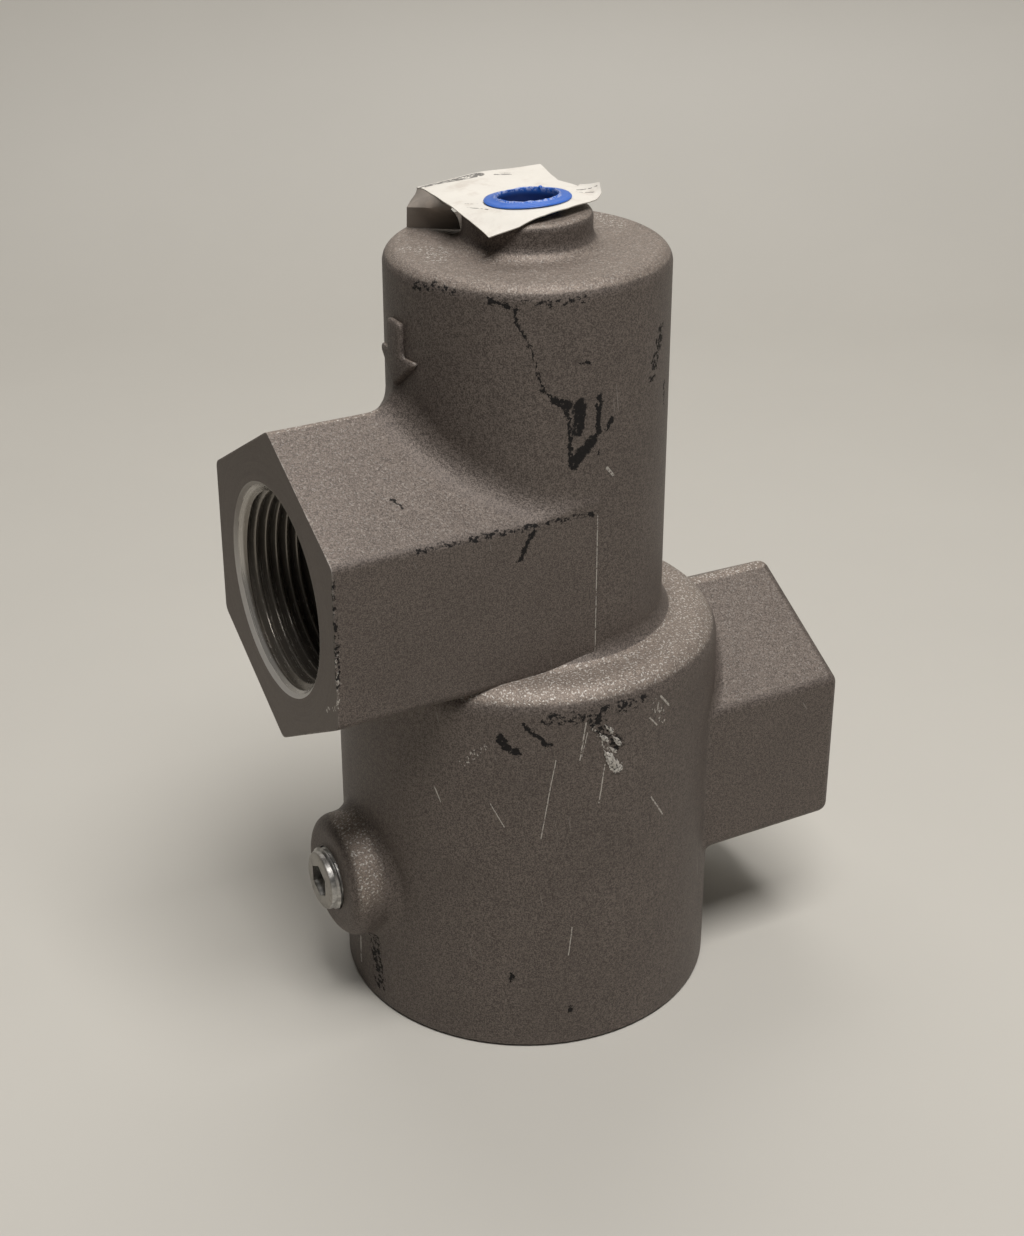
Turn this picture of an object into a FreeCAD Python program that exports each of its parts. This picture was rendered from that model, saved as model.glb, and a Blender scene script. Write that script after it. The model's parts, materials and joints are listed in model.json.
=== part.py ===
"""Relay valve: a pilot-operated poppet valve in a cast body with two hexagonal pipe ports.

The frame stands on the centre of the base: +Z is up, the outlet faces -X and the inlet faces +X.
The valve is modelled closed: the poppet seal rests against the seat ring from below.
"""
import FreeCAD, Part
import Sketcher
import math
import os

# Driving dimensions in millimetres: alias, value and what it measures
DIMENSIONS = [
    ("chamber_wall", 9.7, "wall of the inlet chamber"),
    ("cylinder_wall", 6.0, "wall of the piston cylinder"),
    ("shoulder_height", 84.0, "shoulder between the two cylinders"),
    ("top_height", 161.5, "top face of the casting"),
    ("shoulder_edge_round", 5.5, "outer edge of the shoulder"),
    ("shoulder_root_round", 4.0, "fillet from shoulder to piston cylinder"),
    ("top_edge_round", 3.2, "edge of the top face"),
    ("base_edge_chamfer", 0.6, "machined edges of the base rim"),
    ("pilot_boss_radius", 12.6, "pilot boss on the top face"),
    ("pilot_boss_rise", 6.9, "pilot boss above the top face"),
    ("pilot_boss_root_round", 3.2, "fillet round the pilot boss"),
    ("pilot_boss_edge_round", 1.6, "rim of the pilot boss"),
    ("port_flats", 57.15, "hexagonal ports across flats"),
    ("outlet_axis_rise", 16.0, "outlet port axis above the shoulder"),
    ("outlet_reach", 55.5, "outlet face from the valve axis"),
    ("outlet_corner_round", 2.2, "long edges of the outlet hexagon"),
    ("outlet_ridge_round", 1.6, "top ridge of the outlet hexagon"),
    ("outlet_root_round", 7.0, "fillet from outlet port to piston cylinder"),
    ("inlet_axis_height", 47.2, "inlet port axis above the base"),
    ("inlet_reach", 61.4, "inlet face from the valve axis"),
    ("inlet_corner_round", 2.6, "long edges of the inlet hexagon"),
    ("inlet_root_round", 3.0, "fillet from inlet port to chamber"),
    ("inlet_end_round", 2.4, "cast edges round the inlet face"),
    ("side_boss_height", 30.5, "side boss axis above the base"),
    ("side_boss_proud", 7.1, "side boss face beyond the chamber wall"),
    ("side_boss_radius", 13.2, "side boss"),
    ("side_boss_edge_round", 3.6, "rim of the side boss"),
    ("side_boss_root_round", 3.6, "fillet round the side boss"),
    ("port_thread_radius", 20.8, "wall of the main pipe threads"),
    ("port_thread_depth", 24.0, "depth of the main pipe threads"),
    ("port_countersink", 0.7, "countersink of the main ports at the face"),
    ("port_passage_step", 3.6, "step from port thread to the passage behind it"),
    ("small_thread_radius", 6.85, "wall of the two small pipe threads"),
    ("small_thread_depth", 11.0, "depth of the two small pipe threads"),
    ("small_passage_radius", 3.0, "drilled passage behind the small threads"),
    ("inlet_bore_radius", 30.0, "inlet chamber bore, which takes the cap"),
    ("inlet_bore_top", 70.0, "roof of the inlet chamber"),
    ("seat_thread_step", 2.0, "threaded throat for the seat ring, beyond the piston bore"),
    ("seat_thread_length", 10.0, "length of that thread"),
    ("piston_bore_radius", 22.0, "piston cylinder bore"),
    ("cylinder_end_wall", 9.5, "casting above the piston cylinder bore"),
    ("ring_groove_depth", 1.6, "circlip groove in the cap bore"),
    ("ring_groove_bottom", 3.6, "lower wall of the circlip groove"),
    ("ring_thickness", 1.6, "circlip"),
    ("ring_reach", 2.4, "circlip inside the cap bore"),
    ("ring_gap_share", 0.62, "half width of the circlip's gap to its inside radius"),
    ("ring_lug_radius", 3.2, "circlip lugs"),
    ("ring_lug_hole_radius", 1.2, "plier holes in the lugs"),
    ("slip", 0.04, "radial clearance of running and static fits"),
    ("axial_slip", 0.15, "clearance beside rings in their grooves"),
    ("seat_bore_radius", 15.5, "flow bore of the seat ring"),
    ("seat_flange_room", 1.8, "seat ring flange inside the chamber bore"),
    ("seat_flange_height", 3.0, "thickness of that flange"),
    ("seat_lip_step", 0.9, "raised sealing lip, from the flow bore"),
    ("seat_lip_width", 1.8, "width of that lip"),
    ("seat_lip_rise", 1.2, "height of the lip below the flange"),
    ("seat_slot_width", 4.0, "spanner slots in the seat ring"),
    ("seat_slot_depth", 1.6, "depth of those slots"),
    ("seat_seal_section", 0.65, "section radius of the O-ring under the seat ring flange"),
    ("seal_inner_lap", 2.0, "poppet seal inside the flow bore"),
    ("seal_outer_lap", 2.2, "poppet seal beyond the lip"),
    ("seal_thickness", 3.4, "poppet seal"),
    ("poppet_rim", 1.6, "poppet rim round the seal"),
    ("poppet_web", 6.5, "poppet disc below the seal"),
    ("poppet_rim_rise", 1.9, "poppet rim beside the seal"),
    ("retainer_room", 0.7, "seal retainer flange inside the flow bore"),
    ("retainer_flange", 1.8, "thickness of that flange"),
    ("stem_radius", 6.0, "valve stem"),
    ("stem_tail_radius", 5.0, "lower guide and thread of the stem"),
    ("stem_top_radius", 4.0, "upper thread of the stem"),
    ("valve_travel", 9.0, "travel of the poppet"),
    ("stem_tip_room", 0.3, "stem above the end of its bore when open"),
    ("stem_chamfer", 0.8, "ends of the stem"),
    ("poppet_nut_flats", 16.0, "poppet nut across flats"),
    ("poppet_nut_height", 6.0, "poppet nut"),
    ("washer_thickness", 1.5, "both washers"),
    ("poppet_washer_radius", 9.0, "poppet washer"),
    ("stem_seal_section", 0.9, "section radius of the stem O-rings"),
    ("piston_height", 21.0, "piston, skirt to crown"),
    ("piston_crown_gap", 3.0, "piston crown below the end of its bore"),
    ("piston_web", 7.0, "piston web that the nut clamps"),
    ("piston_crown_recess", 8.0, "depth of the recess for the nut"),
    ("piston_recess_radius", 12.0, "recess for the nut"),
    ("piston_skirt_inner", 16.5, "inside of the piston skirt"),
    ("piston_hub_radius", 9.0, "hub under the piston web"),
    ("piston_nut_flats", 13.0, "piston nut across flats"),
    ("piston_nut_height", 5.2, "piston nut"),
    ("piston_washer_radius", 8.0, "piston washer"),
    ("piston_seal_section", 1.3, "section radius of the piston O-ring"),
    ("guide_ring_height", 5.0, "piston guide ring"),
    ("guide_ring_wall", 1.6, "wall of that ring"),
    ("guide_ring_split", 1.2, "gap where that ring is split"),
    ("spring_room", 1.35, "return spring round the guide tower"),
    ("spring_wire_radius", 1.25, "return spring wire"),
    ("spring_turns", 6.5, "turns of the return spring"),
    ("spring_recess", 2.0, "depth of the spring seat in the poppet"),
    ("cap_thickness", 13.3, "bottom cap disc"),
    ("cap_tower_radius", 11.6, "guide tower on the cap"),
    ("cap_tower_height", 14.0, "guide tower above the disc"),
    ("cap_recess_radius", 20.0, "shallow recess under the cap"),
    ("cap_recess_depth", 2.0, "depth of that recess"),
    ("cap_seal_section", 1.4, "section radius of the cap O-ring"),
    ("cap_floor", 4.2, "cap below the stem's blind bore"),
    ("bushing_radius", 7.5, "bronze bushing, outside"),
    ("bushing_length", 15.0, "bronze bushing"),
    ("supply_plug_length", 10.5, "hex-socket plug"),
    ("supply_plug_proud", 2.6, "plug face beyond the side boss"),
    ("supply_plug_socket", 6.35, "hex socket across flats"),
    ("supply_plug_socket_depth", 4.5, "hex socket"),
    ("supply_plug_chamfer", 0.7, "ends of the plug"),
    ("cap_plug_flange_lap", 1.45, "blue cap plug flange beyond the pilot thread"),
    ("cap_plug_flange", 0.5, "thickness of that flange"),
    ("cap_plug_seat", 1.38, "flange underside above the pilot boss"),
    ("cap_plug_room", 0.4, "cap plug shank inside the pilot thread"),
    ("cap_plug_taper", 0.65, "taper of that shank"),
    ("cap_plug_depth", 8.0, "cap plug shank"),
    ("cap_plug_wall", 1.31, "wall of the cap plug"),
    ("cap_plug_floor", 1.0, "closed end of the cap plug"),
    ("cap_plug_lean", 4.5, "tilt of the cap plug in degrees"),
    ("tag_thickness", 0.2, "paper tag"),
    ("tag_lift", 0.05, "tag above the pilot boss"),
    ("tag_hole_room", 0.15, "hole in the tag beyond the pilot thread"),
    ("tag_left", 12.4, "tag to its fold, towards the outlet"),
    ("tag_right", 14.4, "tag towards the inlet"),
    ("tag_front", 10.5, "tag towards the front"),
    ("tag_back", 24.0, "tag towards the back"),
    ("tag_skew", 7.0, "front edge of the tag, further back at its right end"),
    ("tag_bend", 8.0, "bend of the tag under the cap plug's flange"),
    ("tag_bend_rise", 0.35, "rise of the tag at that bend"),
    ("tag_rise", 1.2, "rise of the tag's right edge"),
    ("tag_flap_foot", 14.4, "foot of the folded flap from the axis"),
    ("tag_flap_clear", 0.5, "foot of the flap above the top face"),
    ("tag_flap_front", 5.5, "near edge of the folded flap"),
]

doc = FreeCAD.newDocument("relay_valve")
parts = {}


class Size:
    """A size with its present value and the expression that drives it."""

    def __init__(self, text, value):
        self.text = text
        self.value = value

    @staticmethod
    def of(other):
        return other if isinstance(other, Size) else Size(repr(other), other)

    def __add__(self, other):
        other = Size.of(other)
        return Size(f"({self.text} + {other.text})", self.value + other.value)

    def __sub__(self, other):
        other = Size.of(other)
        return Size(f"({self.text} - {other.text})", self.value - other.value)

    def __mul__(self, other):
        other = Size.of(other)
        return Size(f"({self.text} * {other.text})", self.value * other.value)

    def __truediv__(self, other):
        other = Size.of(other)
        return Size(f"({self.text} / {other.text})", self.value / other.value)

    def __neg__(self):
        return Size(f"(-1 * {self.text})", -self.value)


class Dimensions:
    """The spreadsheet of driving dimensions, read back as sizes by alias."""

    def __init__(self, rows):
        self.sheet = doc.addObject("Spreadsheet::Sheet", "Dimensions")
        for row, (alias, value, note) in enumerate(rows, start=1):
            self.sheet.set(f"A{row}", note)
            self.sheet.set(f"B{row}", str(value))
            self.sheet.setAlias(f"B{row}", alias)
            setattr(self, alias, Size(f"Dimensions.{alias}", value))
        doc.recompute()


d = Dimensions(DIMENSIONS)
ZERO = Size("0", 0.0)

# Heights and lengths that follow from the driving dimensions
hex_corner = d.port_flats / math.sqrt(3.0)
outlet_axis_height = d.shoulder_height + d.outlet_axis_rise
lower_radius = d.inlet_bore_radius + d.chamber_wall
upper_radius = d.piston_bore_radius + d.cylinder_wall
side_boss_reach = lower_radius + d.side_boss_proud
passage_radius = d.port_thread_radius - d.port_passage_step
seat_thread_radius = d.piston_bore_radius + d.seat_thread_step
piston_bore_top = d.top_height - d.cylinder_end_wall
ring_groove_radius = d.inlet_bore_radius + d.ring_groove_depth
ring_inner_radius = d.inlet_bore_radius - d.ring_reach
seat_flange_radius = d.inlet_bore_radius - d.seat_flange_room
lip_inner_radius = d.seat_bore_radius + d.seat_lip_step
lip_outer_radius = lip_inner_radius + d.seat_lip_width
seat_seal_radius = (seat_thread_radius + seat_flange_radius) / 2
seal_inner_radius = d.seat_bore_radius - d.seal_inner_lap
seal_outer_radius = lip_outer_radius + d.seal_outer_lap
poppet_radius = seal_outer_radius + d.poppet_rim
retainer_radius = d.seat_bore_radius - d.retainer_room
spring_radius = d.cap_tower_radius + d.spring_room + d.spring_wire_radius
cap_plug_top_radius = d.small_thread_radius - d.cap_plug_room
cap_plug_end_radius = cap_plug_top_radius - d.cap_plug_taper
cap_plug_hollow_radius = cap_plug_top_radius - d.cap_plug_wall
cap_plug_flange_radius = d.small_thread_radius + d.cap_plug_flange_lap
tag_hole_radius = d.small_thread_radius + d.tag_hole_room
boss_top = d.top_height + d.pilot_boss_rise
seat_bottom = d.inlet_bore_top - d.seat_flange_height
seat_line = seat_bottom - d.seat_lip_rise
seal_bottom = seat_line - d.seal_thickness
poppet_bottom = seal_bottom - d.poppet_web
spring_top = poppet_bottom + d.spring_recess
cap_bottom = d.ring_groove_bottom + d.ring_thickness + d.axial_slip * 2
cap_top = cap_bottom + d.cap_thickness
tower_top = cap_top + d.cap_tower_height
tail_bottom = cap_bottom + d.cap_recess_depth + d.cap_floor
stem_tip = tail_bottom + d.valve_travel + d.stem_tip_room
piston_top = piston_bore_top - d.piston_crown_gap
piston_bottom = piston_top - d.piston_height
web_top = piston_top - d.piston_crown_recess
web_bottom = web_top - d.piston_web
stem_shoulder = seat_line + d.retainer_flange


def bind(item, **sizes):
    """Drive properties of a document object by the dimension sheet."""
    for name, size in sizes.items():
        setattr(item, name, size.value)
        item.setExpression(name, size.text)


def place(item, x=ZERO, y=ZERO, z=ZERO, rotation=None):
    """Put a primitive at a driven place."""
    spot = FreeCAD.Vector(x.value, y.value, z.value)
    item.Placement = FreeCAD.Placement(spot, rotation or FreeCAD.Rotation())
    for axis, size in (("x", x), ("y", y), ("z", z)):
        item.setExpression(f"Placement.Base.{axis}", size.text)
    return item


def cylinder(name, radius, height, **where):
    item = doc.addObject("Part::Cylinder", name)
    bind(item, Radius=radius, Height=height)
    return place(item, **where)


def cone(name, radius, end_radius, height, **where):
    item = doc.addObject("Part::Cone", name)
    bind(item, Radius1=radius, Radius2=end_radius, Height=height)
    return place(item, **where)


def box(name, length, width, height, **where):
    item = doc.addObject("Part::Box", name)
    bind(item, Length=length, Width=width, Height=height)
    return place(item, **where)


def torus(name, radius, section, height):
    item = doc.addObject("Part::Torus", name)
    bind(item, Radius1=radius, Radius2=section)
    return place(item, z=height)


def hexagon(name, corner, height, **where):
    item = doc.addObject("Part::Prism", name)
    item.Polygon = 6
    bind(item, Circumradius=corner, Height=height)
    return place(item, **where)


def fuse(name, *items):
    joined = doc.addObject("Part::MultiFuse", name)
    joined.Shapes = list(items)
    joined.Refine = True
    doc.recompute()
    return joined


def cut(name, base, tool):
    result = doc.addObject("Part::Cut", name)
    result.Base = base
    result.Tool = tool
    doc.recompute()
    return result


def common(name, *items):
    result = doc.addObject("Part::MultiCommon", name)
    result.Shapes = list(items)
    doc.recompute()
    return result


def finish(label, item):
    """Name a finished sub-part, which is written to a file of that name."""
    item.Label = label
    parts[label] = item
    return item


def origin_plane(body, role):
    return next(f for f in body.Origin.OriginFeatures if f.Role == role)


def sketch_outline(body, role, name, points):
    """A closed outline whose corners are dimensioned from the origin."""
    sketch = body.newObject("Sketcher::SketchObject", name)
    sketch.AttachmentSupport = (origin_plane(body, role), [""])
    sketch.MapMode = "FlatFace"
    count = len(points)
    corners = [FreeCAD.Vector(u.value, v.value, 0) for u, v in points]
    for i in range(count):
        sketch.addGeometry(Part.LineSegment(corners[i], corners[(i + 1) % count]), False)
    for i in range(count):
        sketch.addConstraint(Sketcher.Constraint("Coincident", i, 2, (i + 1) % count, 1))
    for i, (u, v) in enumerate(points):
        for kind, axis, size in (("DistanceX", -2, u), ("DistanceY", -1, v)):
            if size.value == 0:
                sketch.addConstraint(Sketcher.Constraint("PointOnObject", i, 1, axis))
                continue
            index = sketch.addConstraint(Sketcher.Constraint(kind, -1, 1, i, 1, size.value))
            sketch.setExpression(f"Constraints[{index}]", size.text)
    return sketch


def turned(name, points):
    """A body turned about the valve axis from an outline of radius and height."""
    body = doc.addObject("PartDesign::Body", name)
    sketch = sketch_outline(body, "XZ_Plane", f"{name}_outline", points)
    turn = body.newObject("PartDesign::Revolution", f"{name}_turn")
    turn.Profile = sketch
    turn.ReferenceAxis = (sketch, ["V_Axis"])
    turn.Angle = 360
    doc.recompute()
    return body


def ring_points(inner, outer, bottom, top):
    return [(inner, bottom), (outer, bottom), (outer, top), (inner, top)]


def soften(body, size, picks, kind="Fillet"):
    """Round or chamfer the circular edges at the given radii and heights."""
    base = body.Tip
    names = []
    for radius, height in picks:
        for i, edge in enumerate(base.Shape.Edges, start=1):
            curve = edge.Curve
            if not isinstance(curve, Part.Circle):
                continue
            same_radius = abs(curve.Radius - radius.value) < 1e-4
            if same_radius and abs(curve.Center.z - height.value) < 1e-4:
                names.append(f"Edge{i}")
    feature = body.newObject(f"PartDesign::{kind}", f"{body.Name}_{kind.lower()}")
    feature.Base = (base, names)
    if kind == "Fillet":
        bind(feature, Radius=size)
    else:
        bind(feature, Size=size)
    doc.recompute()
    return body


def round_edges(name, base, picks):
    """Round the edges of a solid that a test picks, each test with its radius."""
    rounded = doc.addObject("Part::Fillet", name)
    rounded.Base = base
    rounded.Edges = [
        (i, size.value, size.value)
        for i, edge in enumerate(base.Shape.Edges, start=1)
        for test, size in picks
        if test(edge)
    ]
    doc.recompute()
    return rounded


def runs_along_x(edge):
    first, last = edge.Vertexes[0].Point, edge.Vertexes[-1].Point
    return abs(first.y - last.y) < 1e-6 and abs(first.z - last.z) < 1e-6


def lies_on_cylinder(edge, radius):
    """True where an edge follows the wall of a cylinder on the valve axis."""
    span = edge.LastParameter - edge.FirstParameter
    for share in (0.0, 0.31, 0.62, 1.0):
        point = edge.valueAt(edge.FirstParameter + share * span)
        if abs(math.hypot(point.x, point.y) - radius.value) > 1e-3:
            return False
    return True


# The cap plug leans about this level line, which lifts its side towards the inlet
LEAN_AXIS = FreeCAD.Vector(-0.477, -0.879, 0)
TOWARDS_OUTLET = FreeCAD.Rotation(FreeCAD.Vector(0, 1, 0), -90)
TOWARDS_INLET = FreeCAD.Rotation(FreeCAD.Vector(0, 1, 0), 90)


def cast_core():
    """Both cylinders, the shoulder and the pilot boss, turned in one outline."""
    core = turned("casting_core", [
        (ZERO, ZERO),
        (lower_radius, ZERO),
        (lower_radius, d.shoulder_height),
        (upper_radius, d.shoulder_height),
        (upper_radius, d.top_height),
        (d.pilot_boss_radius, d.top_height),
        (d.pilot_boss_radius, boss_top),
        (ZERO, boss_top),
    ])
    soften(core, d.shoulder_root_round, [(upper_radius, d.shoulder_height)])
    soften(core, d.shoulder_edge_round, [(lower_radius, d.shoulder_height)])
    soften(core, d.top_edge_round, [(upper_radius, d.top_height)])
    soften(core, d.pilot_boss_root_round, [(d.pilot_boss_radius, d.top_height)])
    soften(core, d.pilot_boss_edge_round, [(d.pilot_boss_radius, boss_top)])
    soften(core, d.base_edge_chamfer, [(lower_radius, ZERO)], "Chamfer")
    return core


def outlet_arm():
    """The outlet hexagon, with a roof that sweeps up into the piston cylinder.

    The roof is first blended into a plain cylinder with its slopes carried on past
    the flats, and is then trimmed to the hexagon, so that the fillet runs out
    where the flats stand tangent to the cylinder.
    """
    height = outlet_axis_height
    wide_corner = lower_radius * 2
    roof = hexagon("outlet_roof", wide_corner, d.outlet_reach * 2, x=d.outlet_reach,
                   z=height + hex_corner - wide_corner, rotation=TOWARDS_OUTLET)
    doc.recompute()
    ridge_height = (height + hex_corner).value
    rounded_roof = round_edges("outlet_roof_rounded", roof, [
        (lambda e: runs_along_x(e) and e.Vertexes[0].Z > ridge_height - 1e-3,
         d.outlet_ridge_round)])
    column = cylinder("outlet_column", upper_radius, hex_corner * 2, z=height)
    joined = fuse("outlet_roof_on_column", rounded_roof, column)
    column_top = (height + hex_corner * 2).value
    blended = round_edges("outlet_blend", joined, [
        (lambda e: lies_on_cylinder(e, upper_radius) and e.BoundBox.ZMax < column_top - 1
         and not is_upright(e), d.outlet_root_round)])
    arm = hexagon("outlet_hexagon", hex_corner, d.outlet_reach, z=height,
                  rotation=TOWARDS_OUTLET)
    doc.recompute()
    eaves = (height + hex_corner / 2).value
    lower_arm = round_edges("outlet_hexagon_rounded", arm, [
        (lambda e: runs_along_x(e) and e.Vertexes[0].Z < height.value,
         d.outlet_corner_round)])
    window = box("outlet_window", d.outlet_reach, d.port_flats, hex_corner * 1.4,
                 x=-d.outlet_reach, y=-d.port_flats / 2, z=height)
    envelope = fuse("outlet_envelope", lower_arm, window)
    trimmed = common("outlet_arm_trimmed", blended, envelope)
    return round_edges("outlet_arm", trimmed, [
        (lambda e: follows_flat(e, d.port_flats / 2) and not is_upright(e)
         and e.BoundBox.XLength > 1 and e.BoundBox.ZMin > eaves - 1
         and e.BoundBox.ZMax < (height + hex_corner).value, d.outlet_corner_round)])


def follows_flat(edge, half_width):
    """True where an edge stays in one of the two upright flats of a port."""
    ends = (edge.FirstParameter, edge.LastParameter)
    return all(abs(abs(edge.valueAt(t).y) - half_width.value) < 1e-4 for t in ends)


def is_upright(edge):
    first, last = edge.Vertexes[0].Point, edge.Vertexes[-1].Point
    return math.hypot(first.x - last.x, first.y - last.y) < 1e-6


def casting():
    """The rough casting: core, both hexagonal ports and the side boss, blended."""
    core = cast_core()
    outlet = outlet_arm()
    inlet = hexagon("inlet_hexagon", hex_corner, d.inlet_reach, z=d.inlet_axis_height,
                    rotation=TOWARDS_INLET)
    doc.recompute()
    inlet_face = d.inlet_reach.value
    long_rounds = round_edges("inlet_long_rounds", inlet, [(runs_along_x, d.inlet_corner_round)])
    inlet_arm = round_edges("inlet_arm", long_rounds, [
        (lambda e: abs(e.BoundBox.XMin - inlet_face) < 1e-3 and e.BoundBox.XLength < 1e-3,
         d.inlet_end_round)])
    boss = cylinder("side_boss", d.side_boss_radius, side_boss_reach,
                    z=d.side_boss_height, rotation=TOWARDS_OUTLET)
    doc.recompute()
    boss_face = -side_boss_reach.value
    rounded_boss = round_edges("side_boss_rounded", boss, [
        (lambda e: abs(e.BoundBox.XMin - boss_face) < 1e-3 and e.BoundBox.XLength < 1e-3,
         d.side_boss_edge_round)])
    lower = fuse("casting_lower", core, inlet_arm, rounded_boss)
    blended = round_edges("casting_blended", lower, [
        (lambda e: lies_on_cylinder(e, lower_radius) and e.BoundBox.XMin > 1
         and e.BoundBox.ZMin > 1, d.inlet_root_round),
        (lambda e: lies_on_cylinder(e, lower_radius) and e.BoundBox.XMax < -1
         and e.BoundBox.ZMin > 1 and e.BoundBox.ZLength > 1, d.side_boss_root_round)])
    return fuse("casting", blended, outlet)


def chamber_bore():
    """The stepped bore from below: circlip groove, cap bore, seat thread and cylinder."""
    groove_top = d.ring_groove_bottom + d.ring_thickness + d.axial_slip * 2
    thread_top = d.inlet_bore_top + d.seat_thread_length
    mouth = d.inlet_bore_radius + d.base_edge_chamfer
    return turned("chamber_bore", [
        (ZERO, ZERO),
        (mouth, ZERO),
        (d.inlet_bore_radius, d.base_edge_chamfer),
        (d.inlet_bore_radius, d.ring_groove_bottom),
        (ring_groove_radius, d.ring_groove_bottom),
        (ring_groove_radius, groove_top),
        (d.inlet_bore_radius, groove_top),
        (d.inlet_bore_radius, d.inlet_bore_top),
        (seat_thread_radius, d.inlet_bore_top),
        (seat_thread_radius, thread_top),
        (d.piston_bore_radius, thread_top),
        (d.piston_bore_radius, piston_bore_top),
        (ZERO, piston_bore_top),
    ])


def main_port(name, reach, height, rotation, side, chamber_radius):
    """Countersink, pipe thread and passage of a main port."""
    sink = d.port_countersink
    back = FreeCAD.Rotation(FreeCAD.Vector(0, 1, 0), 180).multiply(rotation)
    face = reach * side
    mouth = cone(f"{name}_mouth", d.port_thread_radius + sink, d.port_thread_radius, sink,
                 x=face, z=height, rotation=back)
    thread = cylinder(f"{name}_thread", d.port_thread_radius, d.port_thread_depth,
                      x=face, z=height, rotation=back)
    passage_length = reach - chamber_radius * 0.5
    passage = cylinder(f"{name}_passage", passage_radius, passage_length,
                       x=face, z=height, rotation=back)
    return [mouth, thread, passage]


def small_ports():
    """The plugged side port and the pilot port, with the passages behind them."""
    back = TOWARDS_INLET
    side_face = -side_boss_reach
    side_thread = cylinder("side_port_thread", d.small_thread_radius, d.small_thread_depth,
                           x=side_face, z=d.side_boss_height, rotation=back)
    side_passage = cylinder("side_port_passage", d.small_passage_radius, side_boss_reach,
                            x=side_face, z=d.side_boss_height, rotation=back)
    pilot_thread = cylinder("pilot_port_thread", d.small_thread_radius, d.small_thread_depth,
                            z=boss_top - d.small_thread_depth)
    pilot_passage = cylinder("pilot_port_passage", d.small_passage_radius,
                             boss_top - piston_bore_top + d.piston_crown_gap,
                             z=piston_bore_top - d.piston_crown_gap)
    return [side_thread, side_passage, pilot_thread, pilot_passage]


def valve_body():
    """The casting after machining."""
    bores = fuse(
        "machined_bores",
        chamber_bore(),
        *main_port("outlet_port", d.outlet_reach, outlet_axis_height, TOWARDS_OUTLET,
                   -1, d.piston_bore_radius),
        *main_port("inlet_port", d.inlet_reach, d.inlet_axis_height, TOWARDS_INLET,
                   1, d.inlet_bore_radius),
        *small_ports(),
    )
    finish("valve_body", cut("machined_body", casting(), bores))


def seat_ring():
    """The screwed seat, with a raised lip below and a seal groove above its flange."""
    thread_top = d.inlet_bore_top + d.seat_thread_length - d.axial_slip
    groove = d.seat_seal_section + d.slip
    ring = turned("seat_ring_turned", [
        (d.seat_bore_radius, seat_bottom),
        (lip_inner_radius, seat_line),
        (lip_outer_radius, seat_line),
        (lip_outer_radius, seat_bottom),
        (seat_flange_radius, seat_bottom),
        (seat_flange_radius, d.inlet_bore_top),
        (seat_seal_radius + groove, d.inlet_bore_top),
        (seat_seal_radius + groove, d.inlet_bore_top - groove * 2),
        (seat_seal_radius - groove, d.inlet_bore_top - groove * 2),
        (seat_seal_radius - groove, d.inlet_bore_top),
        (seat_thread_radius - d.slip, d.inlet_bore_top),
        (seat_thread_radius - d.slip, thread_top),
        (d.seat_bore_radius + d.seat_lip_rise, thread_top),
        (d.seat_bore_radius, thread_top - d.seat_lip_rise),
    ])
    slots = [
        box(f"seat_ring_slot_{i}", seat_flange_radius * 2.2, d.seat_slot_width, d.seat_slot_depth,
            x=-seat_flange_radius * 1.1 if i == 0 else -d.seat_slot_width / 2,
            y=-d.seat_slot_width / 2 if i == 0 else -seat_flange_radius * 1.1,
            z=seat_bottom)
        for i in range(2)
    ]
    bind(slots[1], Length=d.seat_slot_width, Width=seat_flange_radius * 2.2)
    core = cylinder("seat_ring_slot_core", lip_outer_radius + d.seat_lip_rise,
                    d.seat_slot_depth, z=seat_bottom)
    slot_tool = cut("seat_ring_slots", fuse("seat_ring_slot_bars", *slots), core)
    finish("seat_ring", cut("seat_ring_slotted", ring, slot_tool))
    finish("seat_ring_seal", torus("seat_ring_seal", seat_seal_radius, d.seat_seal_section,
                                   d.inlet_bore_top - groove))


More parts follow.
